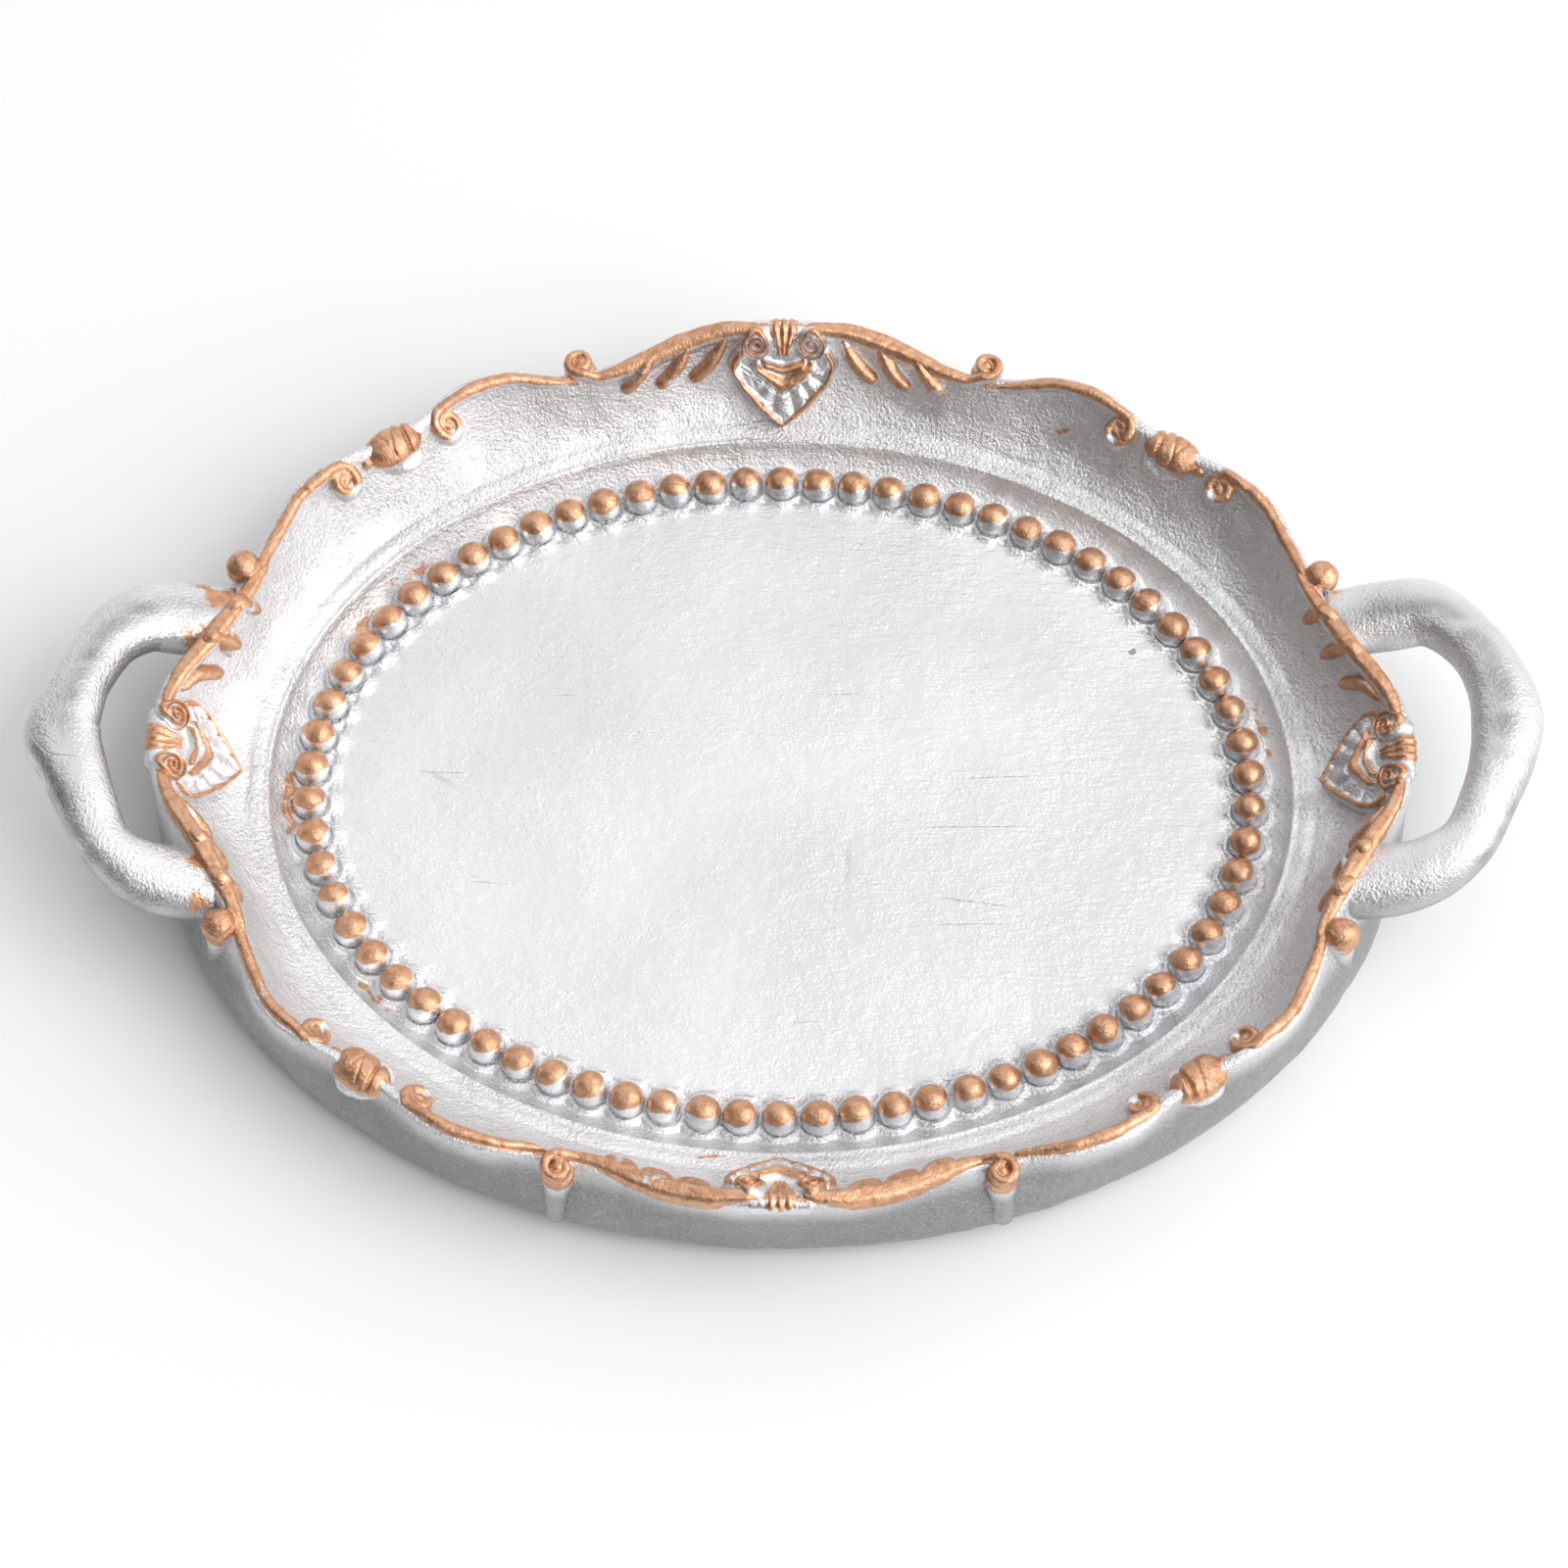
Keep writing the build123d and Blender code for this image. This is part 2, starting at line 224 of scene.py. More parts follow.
# ---- meshes -------------------------------------------------------------------------------
def new_object(name, verts, faces, **masks):
    """Smooth-shaded mesh with one float attribute per mask."""
    mesh = bpy.data.meshes.new(name)
    mesh.from_pydata((np.asarray(verts) * MM).tolist(), [], faces)
    mesh.validate()
    for label, values in masks.items():
        layer = mesh.attributes.new(label, "FLOAT", "POINT")
        layer.data.foreach_set("value", np.asarray(values, float))
    mesh.shade_smooth()
    mesh.update()
    obj = bpy.data.objects.new(name, mesh)
    bpy.context.scene.collection.objects.link(obj)
    return obj


def grid_faces(rows, columns, wrap_columns, start=0):
    faces = []
    last = columns if wrap_columns else columns - 1
    for r in range(rows - 1):
        for c in range(last):
            a = start + r * columns + c
            b = start + r * columns + (c + 1) % columns
            faces.append((a, b, b + columns, a + columns))
    return faces


def tube(centres, sides, ups, widths, heights, around=28, square=2.0, groove=0.0):
    """Closed bar: rings of a superellipse section round centre points, with round ends."""
    centres, sides, ups = (np.asarray(a, float) for a in (centres, sides, ups))
    angle = 2 * math.pi * np.arange(around) / around
    ca, sa = np.cos(angle), np.sin(angle)
    size = (np.abs(ca) ** square + np.abs(sa) ** square) ** (-1 / square)
    size = size * (1 - groove * bump_at(angle, math.pi / 2, 0.35))
    wide, high = np.asarray(widths)[:, None, None], np.asarray(heights)[:, None, None]
    rings = (centres[:, None] + sides[:, None] * (wide * (ca * size)[None, :, None])
             + ups[:, None] * (high * (sa * size)[None, :, None]))
    verts = np.vstack([rings.reshape(-1, 3), centres[:1], centres[-1:]])
    rows = len(centres)
    faces = grid_faces(rows, around, True)
    first, last = rows * around, rows * around + 1
    for c in range(around):
        d = (c + 1) % around
        faces.append((first, d, c))
        faces.append((last, (rows - 1) * around + c, (rows - 1) * around + d))
    return verts, faces


def rounded_ends(count, blunt=4):
    """Width factors that close a bar off roundly over its last few rings."""
    k = np.arange(count)
    near = np.minimum(k, count - 1 - k)
    t = np.clip((near + 0.25) / blunt, 0, 1)
    return np.sqrt(1 - (1 - t) ** 2)


def frame_of(path, up=(0, 0, 1)):
    """Side and up directions square to a path."""
    along = np.gradient(path, axis=0)
    along /= np.linalg.norm(along, axis=1)[:, None]
    side = np.cross(along, np.array(up, float))
    side /= np.linalg.norm(side, axis=1)[:, None]
    return side, np.cross(side, along)


def blob(centre, radii, rings=22, around=28, lumps=0.03):
    """Slightly lumpy ball."""
    v = np.linspace(0, math.pi, rings + 2)[1:-1]
    u = 2 * math.pi * np.arange(around) / around
    d = np.stack([np.sin(v)[:, None] * np.cos(u), np.sin(v)[:, None] * np.sin(u),
                  np.cos(v)[:, None] * np.ones(around)], -1).reshape(-1, 3)
    d = np.vstack([d, [[0, 0, 1], [0, 0, -1]]])
    size = 1 + lumps * soft_noise(d * 3 + np.asarray(centre), 1.7)
    verts = np.asarray(centre) + d * np.asarray(radii) * size[:, None]
    faces = grid_faces(rings, around, True)
    top, bottom = rings * around, rings * around + 1
    for c in range(around):
        e = (c + 1) % around
        faces.append((top, e, c))
        faces.append((bottom, (rings - 1) * around + c, (rings - 1) * around + e))
    faces = [tuple(reversed(f)) for f in faces]
    return verts, faces


def merge(parts):
    verts, faces, base = [], [], 0
    for v, f in parts:
        verts.append(v)
        faces += [tuple(i + base for i in face) for face in f]
        base += len(v)
    return np.vstack(verts), faces


def fused(name, parts, voxel):
    """Melts overlapping shells into one skin."""
    verts, faces = merge(parts)
    obj = new_object(name + "_raw", verts, faces)
    change = obj.modifiers.new("melt", "REMESH")
    change.mode = "VOXEL"
    change.voxel_size = voxel * MM
    change.use_smooth_shade = True
    soften = obj.modifiers.new("soften", "SMOOTH")
    soften.factor = 0.5
    soften.iterations = 3
    graph = bpy.context.evaluated_depsgraph_get()
    mesh = bpy.data.meshes.new_from_object(obj.evaluated_get(graph))
    count = len(mesh.vertices)
    at = np.empty(count * 3)
    mesh.vertices.foreach_get("co", at)
    normal = np.empty(count * 3)
    mesh.vertex_normals.foreach_get("vector", normal)
    faces = [tuple(p.vertices) for p in mesh.polygons]
    bpy.data.objects.remove(obj)
    bpy.data.meshes.remove(mesh)
    return at.reshape(-1, 3) / MM, normal.reshape(-1, 3), faces


def flip(points, sx, sy):
    return np.asarray(points) * (sx, sy, 1)


def flip_faces(faces, sx, sy):
    return [tuple(reversed(f)) for f in faces] if sx * sy < 0 else faces


# ---- materials ----------------------------------------------------------------------------
class Nodes:
    """Short-hand for building a shader tree."""

    def __init__(self, name):
        self.material = bpy.data.materials.new(name)
        self.material.use_nodes = True
        self.tree = self.material.node_tree
        self.shader = self.tree.nodes["Principled BSDF"]
        self.place = self.tree.nodes.new("ShaderNodeTexCoord").outputs["Object"]

    def node(self, kind, inputs=None, **settings):
        made = self.tree.nodes.new(kind)
        for key, value in settings.items():
            setattr(made, key, value)
        for key, value in (inputs or {}).items():
            self.put(made.inputs[key], value)
        return made

    def put(self, socket, value):
        if isinstance(value, bpy.types.NodeSocket):
            self.tree.links.new(value, socket)
        else:
            socket.default_value = value

    def stretched(self, scale, turn=(0, 0, 0)):
        made = self.node("ShaderNodeMapping",
                         {"Vector": self.place, "Scale": scale, "Rotation": turn})
        return made.outputs[0]

    def noise(self, scale, detail=3.0, rough=0.55, where=None):
        made = self.node("ShaderNodeTexNoise", {"Vector": where or self.place, "Scale": scale,
                                                "Detail": detail, "Roughness": rough})
        return made.outputs[0]

    def math(self, kind, a, b=0.0, c=0.0):
        made = self.node("ShaderNodeMath", {0: a, 1: b, 2: c}, operation=kind)
        return made.outputs[0]

    def span(self, value, low, high, to_low=0.0, to_high=1.0, kind="SMOOTHSTEP"):
        made = self.node("ShaderNodeMapRange", {"Value": value, "From Min": low, "From Max": high,
                                                "To Min": to_low, "To Max": to_high},
                         interpolation_type=kind)
        return made.outputs[0]

    def mix_colour(self, factor, a, b):
        made = self.node("ShaderNodeMix", data_type="RGBA")
        self.put(made.inputs[0], factor)
        self.put(made.inputs[6], a)
        self.put(made.inputs[7], b)
        return made.outputs[2]

    def mix_value(self, factor, a, b):
        made = self.node("ShaderNodeMix", data_type="FLOAT")
        self.put(made.inputs[0], factor)
        self.put(made.inputs[2], a)
        self.put(made.inputs[3], b)
        return made.outputs[0]

    def mask(self, label):
        """Float painted on the mesh under this name; nought where the mesh has none."""
        return self.node("ShaderNodeAttribute", attribute_name=label).outputs["Fac"]

    def bump(self, height, distance, strength=1.0, normal=None):
        made = self.node("ShaderNodeBump",
                         {"Height": height, "Distance": distance, "Strength": strength})
        if normal is not None:
            self.put(made.inputs["Normal"], normal)
        return made.outputs[0]


SILVER = (0.86, 0.86, 0.87, 1)
SILVER_DULL = (0.76, 0.76, 0.775, 1)
COPPER = (0.74, 0.43, 0.27, 1)
COPPER_DARK = (0.56, 0.29, 0.16, 1)
# Dark grey of the painted shade, and the lighter grains scattered through it.
PAINTED_SHADE_COLOUR = (0.24, 0.24, 0.245, 1)
PAINTED_SHADE_SPECKLE = (0.62, 0.62, 0.63, 1)
GRAIN_SHADE = (0.30, 0.30, 0.315, 1)
PIT_SHADE = (0.22, 0.21, 0.22, 1)
SCRATCH_SHADE = (0.3, 0.3, 0.31, 1)
METALLIC = 0.92

# Noise sizes of the paint, in lumps to a metre, and relief depths in metres.
SAND_SCALE = 2300.0
SAND_PATCH_SCALE = 85.0
LUMP_SCALE = 420.0
BRUSH_SCALE = (380.0, 1900.0, 1900.0)
TONE_SCALE = 32.0
PIT_SCALE = 105.0
SCRATCH_SCALE = (9.0, 95.0, 95.0)
SCRATCH_TURN = (0, 0, 0.75)
SAND_DEPTH = 0.00040
LUMP_DEPTH = 0.00020
BRUSH_DEPTH = 0.00014
DENT_DEPTH = -0.00012


def paint(name, grain=1.0, streak=0.3, masked=False):
    """Silver metallic paint with a sandy grain, pinholes and scratches, copper where gilded, and a
    dark painted shade, flecked with lighter grains, where a mesh mask asks for it.
    """
    n = Nodes(name)
    sand = n.noise(SAND_SCALE, 3.0, 0.62)
    sand_patch = n.span(n.noise(SAND_PATCH_SCALE, 2.0), 0.36, 0.60, 0.45, 1.0)
    lumps = n.noise(LUMP_SCALE, 4.0, 0.6)
    brushed = n.noise(1.0, 4.0, 0.62, n.stretched(BRUSH_SCALE))
    wide = n.noise(TONE_SCALE, 3.0)
    pits = n.node("ShaderNodeTexVoronoi", {"Vector": n.place, "Scale": PIT_SCALE}, feature="F1")
    pit_here = n.math("LESS_THAN", n.node("ShaderNodeSeparateColor",
                                          {"Color": pits.outputs["Color"]}).outputs[0], 0.04)
    pit = n.math("MULTIPLY", n.span(pits.outputs["Distance"], 0.03, 0.065, 1.0, 0.0), pit_here)
    hairs = n.node("ShaderNodeTexVoronoi",
                   {"Vector": n.stretched(SCRATCH_SCALE, SCRATCH_TURN), "Scale": 1.0},
                   feature="DISTANCE_TO_EDGE")
    hair_here = n.span(n.noise(55.0, 1.0), 0.62, 0.68)
    hair = n.math("MULTIPLY", n.span(hairs.outputs["Distance"], 0.0, 0.007, 1.0, 0.0), hair_here)
    grit = n.mask("grit") if masked else 0.8
    dark_grain = n.math("MULTIPLY", n.math("MULTIPLY", n.span(sand, 0.52, 0.74), grit), 0.42)
    bright_grain = n.math("MULTIPLY", n.span(sand, 0.48, 0.34), 0.55)

    tone = n.mix_colour(n.span(wide, 0.3, 0.7), SILVER, SILVER_DULL)
    # Painted shade: a dark grey mixed in by the mesh's shade mask stands in for shade and dark
    # reflections; lighter sand grains are sprinkled back over it.
    tone = n.mix_colour(n.math("MULTIPLY", n.mask("dull"), 0.80), tone, PAINTED_SHADE_COLOUR)
    tone = n.mix_colour(n.math("MULTIPLY", bright_grain, n.mask("dull")), tone, PAINTED_SHADE_SPECKLE)
    tone = n.mix_colour(n.math("MULTIPLY", dark_grain, sand_patch), tone, GRAIN_SHADE)
    tone = n.mix_colour(n.math("MULTIPLY", pit, 0.7), tone, PIT_SHADE)
    tone = n.mix_colour(n.math("MULTIPLY", hair, 0.22), tone, SCRATCH_SHADE)
    rough = n.span(lumps, 0.3, 0.7, 0.22, 0.36, "LINEAR")

    layer = n.mask("gilt")
    patchy = n.math("MULTIPLY_ADD", n.noise(620.0, 5.0, 0.7), 0.9, -0.45)
    smear = n.math("MULTIPLY_ADD", n.noise(150.0, 3.0, 0.6), 0.5, -0.25)
    gilt = n.span(n.math("ADD", n.math("ADD", layer, patchy), smear), 0.42, 0.54)
    shade = n.mix_colour(n.span(n.noise(900.0, 4.0, 0.6), 0.38, 0.66), COPPER, COPPER_DARK)
    tone = n.mix_colour(gilt, tone, shade)
    rough = n.mix_value(gilt, rough, n.span(lumps, 0.3, 0.7, 0.25, 0.40, "LINEAR"))
    n.put(n.shader.inputs["Base Color"], tone)
    n.put(n.shader.inputs["Roughness"], rough)
    n.shader.inputs["Metallic"].default_value = METALLIC
    n.shader.inputs["Specular IOR Level"].default_value = 0.5

    sandy = n.math("MULTIPLY", n.math("MULTIPLY", sand, sand_patch), grit)
    fine = n.bump(sandy, SAND_DEPTH * grain)
    mid = n.bump(lumps, LUMP_DEPTH * grain, 1.0, fine)
    run = n.bump(brushed, BRUSH_DEPTH * streak, 1.0, mid)
    dents = n.bump(n.math("ADD", pit, n.math("MULTIPLY", hair, 0.4)), DENT_DEPTH, 1.0, run)
    n.put(n.shader.inputs["Normal"], dents)
    return n.material


def paper(name, colour):
    """Matt studio board."""
    n = Nodes(name)
    mottle = n.span(n.noise(60.0, 4.0), 0.3, 0.7, 0.985, 1.0, "LINEAR")
    shaded = colour * 0.97
    tone = n.mix_colour(mottle, (shaded, shaded, shaded, 1), (colour, colour, colour, 1))
    n.put(n.shader.inputs["Base Color"], tone)
    n.shader.inputs["Roughness"].default_value = 0.9
    n.shader.inputs["Specular IOR Level"].default_value = 0.1
    return n.material


BODY_PAINT = paint("silver_paint_body", 1.0, 1.0, True)
HANDLE_PAINT = paint("silver_paint_handle", 0.8, 0.4)
RELIEF_PAINT = paint("gilded_relief", 0.6, 0.15)
BEAD_PAINT = paint("gilded_beads", 0.45, 0.1)


def place_piece(obj, node, material):
    """Paints a piece, hangs it under the root body and hides the CAD node it stands in for."""
    obj.data.materials.clear()
    obj.data.materials.append(material)
    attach(obj, "root")
    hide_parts(node)


# ---- beads --------------------------------------------------------------------------------
def bead_spots():
    """Bead centres, evenly spaced along the oval."""
    t = np.linspace(0, 2 * math.pi, 7201)
    x, y = BEAD_RING[0] * np.cos(t), BEAD_RING[1] * np.sin(t)
    run = np.concatenate([[0], np.cumsum(np.hypot(np.diff(x), np.diff(y)))])
    want = (np.arange(BEAD_COUNT) + 0.5) / BEAD_COUNT * run[-1]
    return np.c_[np.interp(want, run, x), np.interp(want, run, y)]


BEADS = bead_spots()


def make_beads():
    parts, gilt = [], []
    for x, y in BEADS:
        size = BEAD_R * (1 + 0.02 * RNG.standard_normal())
        shift_x, shift_y = 0.05 * RNG.standard_normal(), 0.05 * RNG.standard_normal()
        centre = np.array([x + shift_x, y + shift_y, BEAD_Z])
        verts, faces = blob(centre, (size, size, size), 24, 32, 0.025)
        lean_x, lean_y = -0.16 + 0.10 * RNG.standard_normal(), 0.30 + 0.10 * RNG.standard_normal()
        lean = np.array([lean_x, lean_y, 0.92])
        lean /= np.linalg.norm(lean)
        facing = ((verts - centre) / size) @ lean
        gilt.append(smooth(0.10, 0.66, facing + 0.14 * soft_noise(verts, 1.3)))
        keep = verts.copy()
        keep[:, 2] = np.maximum(keep[:, 2], CHANNEL_Z - 0.2)
        parts.append((keep, faces))
    verts, faces = merge(parts)
    obj = new_object("beads_painted", verts, faces, gilt=np.concatenate(gilt))
    place_piece(obj, "bead_ring", BEAD_PAINT)


# ---- tray body ----------------------------------------------------------------------------
def body_profile(turn):
    """Radius and height along each bearing, from the middle of the floor round to underneath."""
    floor_edge, foot, ridge = oval(turn, FLOOR), oval(turn, COVE_FOOT), oval(turn, RIDGE)
    stop, top = wall_top(turn)
    point, out = crest(turn)
    outer = point[:, :2] + out * 1.02
    lip = np.hypot(outer[:, 0], outer[:, 1])
    belly, base = oval(turn, BELLY), oval(turn, BASE)
    rows = []
    for share in np.linspace(0, 1, 40)[1:]:
        rows.append((floor_edge * share - 0.25 * (share == 1), 0 * turn + FLOOR_Z))
    rows.append((floor_edge + 0.05, 0 * turn + FLOOR_Z - 0.16))
    for share in np.linspace(0.06, 1, 16):
        rows.append((floor_edge + (foot - floor_edge) * share, 0 * turn + CHANNEL_Z))
    for share in np.linspace(0.08, 0.985, 14):
        bend = 1 - math.sqrt(1 - share**1.7 * 0.96)
        climb = 0.35 * share + 0.65 * bend / 0.8
        rows.append((foot + (ridge - foot) * share,
                     0 * turn + CHANNEL_Z + (RIDGE_Z - CHANNEL_Z) * climb))
    rows.append((ridge + 0.12, 0 * turn + RIDGE_Z - 0.02))
    for share in np.linspace(0.03, 1, 44):
        rows.append((ridge + (stop - ridge) * share, RIDGE_Z + (top - RIDGE_Z) * rise(share)))
    for across, drop in CREST_ROLL:
        place = point[:, :2] + out * across
        rows.append((np.hypot(place[:, 0], place[:, 1]), point[:, 2] - drop))
    lip_z = point[:, 2] - 1.3
    for share in np.linspace(0, 1, 26):
        swell = np.sin(share * math.pi / 2) ** 1.15
        radius = lip + (belly - lip) * swell
        rows.append((radius, lip_z + (BELLY_Z - lip_z) * share))
    for share in np.linspace(0.1, 1, 10):
        around_corner = math.sin(share * math.pi / 2)
        drop = 1 - math.cos(share * math.pi / 2)
        rows.append((belly + (base - belly) * drop, 0 * turn + BELLY_Z * (1 - around_corner)))
    for share in np.linspace(0.05, 1, 12)[:-1]:
        rows.append((base * (1 - share), 0 * turn))
    return np.array([r for r, _ in rows]), np.array([z for _, z in rows])


def bed_relief(x, y, z):
    """Paint and plaster gathered round the beads' feet."""
    near_ring = np.abs(np.hypot(x / BEAD_RING[0], y / BEAD_RING[1]) - 1) < 0.09
    low = near_ring & (z > CHANNEL_Z - 0.4) & (z < RIDGE_Z - 0.6)
    lift = np.zeros_like(x)
    spots = np.c_[x[low], y[low]]
    distance = np.min(np.hypot(spots[:, None, 0] - BEADS[None, :, 0],
                               spots[:, None, 1] - BEADS[None, :, 1]), axis=1)
    wobble = 0.12 * soft_noise(np.c_[spots, 0 * spots[:, 0]], 0.8)
    lift[low] = 0.55 * bump_at(distance, 2.75 + wobble, 0.32) + 0.35 * smooth(3.3, 2.3, distance)
    return lift


BODY_COLUMNS = 1260


def make_body():
    columns = BODY_COLUMNS
    sweep = 2 * math.pi * np.arange(columns) / columns
    turn = np.degrees(np.arctan2(BELLY[1] * np.sin(sweep), BELLY[0] * np.cos(sweep)))
    radius, z = body_profile(turn)
    rows = len(radius)
    t = np.radians(turn)
    x, y = radius * np.cos(t), radius * np.sin(t)
    z = z + bed_relief(x, y, z)
    past = radius - oval(turn, RIDGE)
    band_noise = 1 + 0.5 * soft_noise(np.stack([x, y, 0 * x], -1), 9.0)
    moulded = (z < RIDGE_Z + 4) & (z > CHANNEL_Z)
    z = z + 0.24 * bump_at(past, 0.1, 0.38) * moulded
    z = z + moulded * band_noise * (0.13 * bump_at(past, 1.7, 0.8) - 0.13 * bump_at(past, 3.0, 0.5))
    points = np.stack([x, y, z], -1)
    upper = (np.arange(rows) < rows - 12)[:, None]
    on_floor = np.hypot(x / FLOOR[0], y / FLOOR[1]) < 0.985
    swell = 0.10 * soft_noise(points, 23.0) + 0.05 * soft_noise(points + 9.1, 7.0)
    fine = 0.035 * soft_noise(points * (0.45, 1.5, 1.5), 1.6) + 0.02 * soft_noise(points, 0.7)
    points[..., 2] += upper * np.where(on_floor, 0.7 * swell + 0.5 * fine,
                                       0.6 * swell * (z > 3) + 0.6 * fine)
    wall = (z > RIDGE_Z + 0.5) & (z < 17.5) | (z > 1.0) & (radius > oval(turn, RIDGE) + 5)
    ripple = 0.16 * soft_noise(points, 5.0) + 0.10 * soft_noise(points + 3.3, 2.1)
    grow = 1 + wall * upper * ripple / np.maximum(radius, 1)
    points[..., 0] *= grow
    points[..., 1] *= grow
    verts = points.reshape(-1, 3)
    faces = grid_faces(rows, columns, True)
    verts = np.vstack([verts, [[0, 0, FLOOR_Z + 0.02]], [[0, 0, 0]]])
    centre, under = rows * columns, rows * columns + 1
    for c in range(columns):
        d = (c + 1) % columns
        faces.append((centre, c, d))
        faces.append((under, (rows - 1) * columns + d, (rows - 1) * columns + c))
    faces = [tuple(reversed(f)) if len(f) == 4 else f for f in faces]
    x, y, z = verts.T
    ring = np.hypot(x / RIDGE[0], y / RIDGE[1])
    # The outer wall, darker toward the bottom: more grit there, and painted shade handed to the
    # paint's shade mask.
    outside = smooth(1.165, 1.20, ring) * smooth(17.5, 12.0, z)
    floor_part = smooth(0.90, 0.88, np.hypot(x / FLOOR[0], y / FLOOR[1]) * 0.9)
    grit = np.clip(1.0 - 0.75 * floor_part + 0.3 * outside, 0, 1.3)
    obj = new_object("tray_body_painted", verts, faces,
                     gilt=body_gilt(verts), grit=grit, dull=outside)
    place_piece(obj, "tray_body", BODY_PAINT)


def body_gilt(verts):
    """Stray copper: along the crest, on the left of the cove, and a few brushed touches."""
    x, y, z = verts.T
    turn = np.degrees(np.arctan2(y, x))
    point, _ = crest(turn)
    beyond = np.hypot(x, y) - np.hypot(point[:, 0], point[:, 1])
    rim = smooth(1.6, 0.9, point[:, 2] - z) * smooth(-1.8, -0.8, beyond) * smooth(0.9, 0.1, beyond)
    folded = np.abs((turn + 90) % 180 - 90)
    rim = rim * (1 - bump_at(folded, 42.5, 7.5))
    ring = np.hypot(x / RIDGE[0], y / RIDGE[1])
    cove = bump_at(ring, 0.965, 0.022) * smooth(112, 140, np.abs(turn) + 8 * (turn < 0))
    cove = cove * (0.5 + 0.5 * soft_noise(verts * (0.6, 0.6, 1), 3.0)) * 0.75
    right = bump_at(ring, 0.97, 0.02) * smooth(24, 10, np.abs(turn)) * 0.42
    touch = 0.55 * bump_at(x, 38.5, 2.6) * bump_at(y, 52.6, 0.5) * (z > 8)
    touch = touch + 0.5 * bump_at(x + 0.2 * y, -19.5, 4.0) * bump_at(y - 0.12 * x, -52.9, 0.45)
    return np.clip(0.60 * rim + cove + right + touch, 0, 1)


# ---- rim scrolls --------------------------------------------------------------------------
def moulding(turns, across, sink, widths, heights, **shape):
    """Bar that follows the crest, moved outward by across and lowered by sink."""
    point, out = crest(turns)
    path = point.copy()
    path[:, :2] += out * np.asarray(across)[:, None]
    path[:, 2] -= sink
    side = np.c_[out, np.zeros(len(out))]
    up = np.tile([0, 0, 1.0], (len(out), 1))
    ends = rounded_ends(len(path), 5)
    return tube(path, side, up, widths * ends, heights * (0.35 + 0.65 * ends), **shape)


def band(turns, across, half, drop, height, **shape):
    """Tapering ribbon along the crest, from its half widths and its greatest half height."""
    s = np.linspace(0, 1, len(turns))
    widths = np.interp(s, np.linspace(0, 1, len(half)), half)
    outs = np.interp(s, np.linspace(0, 1, len(across)), across)
    heights = height * (0.55 + 0.45 * widths / max(half))
    return moulding(turns, outs, drop + 0 * s, widths, heights, **shape)


def curl(centre, start, radius, turns, hand, thick, eye=0.9, lead=(), tilt=0.0):
    """Ribbon wound inward round a small ball; tilt lowers the side nearer the tray's middle."""
    steps = int(40 * turns)
    t = np.linspace(0, 1, steps)
    angle = math.radians(start) + hand * t * turns * 2 * math.pi
    reach = radius * (1 - 0.62 * t**1.15)
    inward = -np.array(centre[:2]) / math.hypot(*centre[:2])
    path = np.c_[centre[0] + reach * np.cos(angle), centre[1] + reach * np.sin(angle),
                 centre[2] + 0 * t]
    path[:, 2] -= tilt * (radius + (path[:, :2] - centre[:2]) @ inward)
    if len(lead):
        path = np.vstack([catmull(list(lead) + [path[0]], 8)[:-1], path])
    side, up = frame_of(path)
    size = thick * (1 - 0.38 * np.linspace(0, 1, len(path)))
    size[:4] *= (0.4, 0.65, 0.85, 0.95)
    ribbon = tube(path, side, up, size, size * 1.5, around=20, square=2.4)
    ball = blob((centre[0], centre[1], centre[2] - tilt * radius), (eye, eye, eye), 12, 18)
    below = (centre[0] - 0.4 * inward[0], centre[1] - 0.4 * inward[1],
             centre[2] - 2.1 - tilt * radius)
    seat = blob(below, (radius * 0.85, radius * 0.85, 2.6), 14, 22)
    return [ribbon, ball, seat]


def column(x, y, top, bottom, radius, lean, thin):
    """Round roll standing on the outer wall and dying away downward."""
    count = 24
    s = np.linspace(0, 1, count)
    z = top + (bottom - top) * s
    inward = np.array([x, y]) / math.hypot(x, y)
    path = np.c_[x - inward[0] * lean * s**1.5, y - inward[1] * lean * s**1.5, z]
    side = np.tile([1.0, 0, 0], (count, 1))
    up = np.tile([0, 1.0, 0], (count, 1))
    cap = np.minimum(1, 0.62 + 0.38 * np.sqrt(np.minimum(s * 14, 1)))
    size = radius * (1 + (thin - 1) * s) * cap
    return tube(path, side, up, size, size)


def end_scroll_parts():
    """Ribbon from the round knob to the end shield."""
    turns = np.linspace(21.8, 3.4, 56)
    bar = band(turns, (-0.7, -0.6, -0.5, -0.4), (0.75, 1.1, 1.35, 1.2, 0.8), 0.95, 1.35,
               square=2.4, groove=0.10)
    knob = blob(KNOB, (KNOB_R, KNOB_R, 2.2), lumps=0.06)
    swirl = curl((KNOB[0], KNOB[1], 17.9), 200, 1.55, 1.0, -1, 0.55, 0.7)[0]
    post = column(72.2, 26.6, 16.6, 4.8, 2.1, -1.5, 0.6)
    return [bar, knob, swirl, post]


def crest_lead(turns, inset, sink):
    """Points just inside the crest that lead a ribbon into its curl."""
    point, out = crest(turns)
    return [np.append(p[:2] - inset * o, p[2] - sink) for p, o in zip(point, out)]


def corner_scroll_parts():
    """Ribbon from the knob to the inward curl beside the bud."""
    turns = np.linspace(20.4, 33.4, 50)
    bar = band(turns, (-0.3, -0.5, -0.6), (0.7, 0.95, 0.85, 0.9), 0.85, 1.15, square=2.3)
    lead = crest_lead([30.5, 32.0, 33.6], 0.6, 1.0)
    return [bar] + curl(CORNER_CURL, 52, CURL_R, 1.2, 1, 0.95, lead=lead, tilt=CURL_TILT)


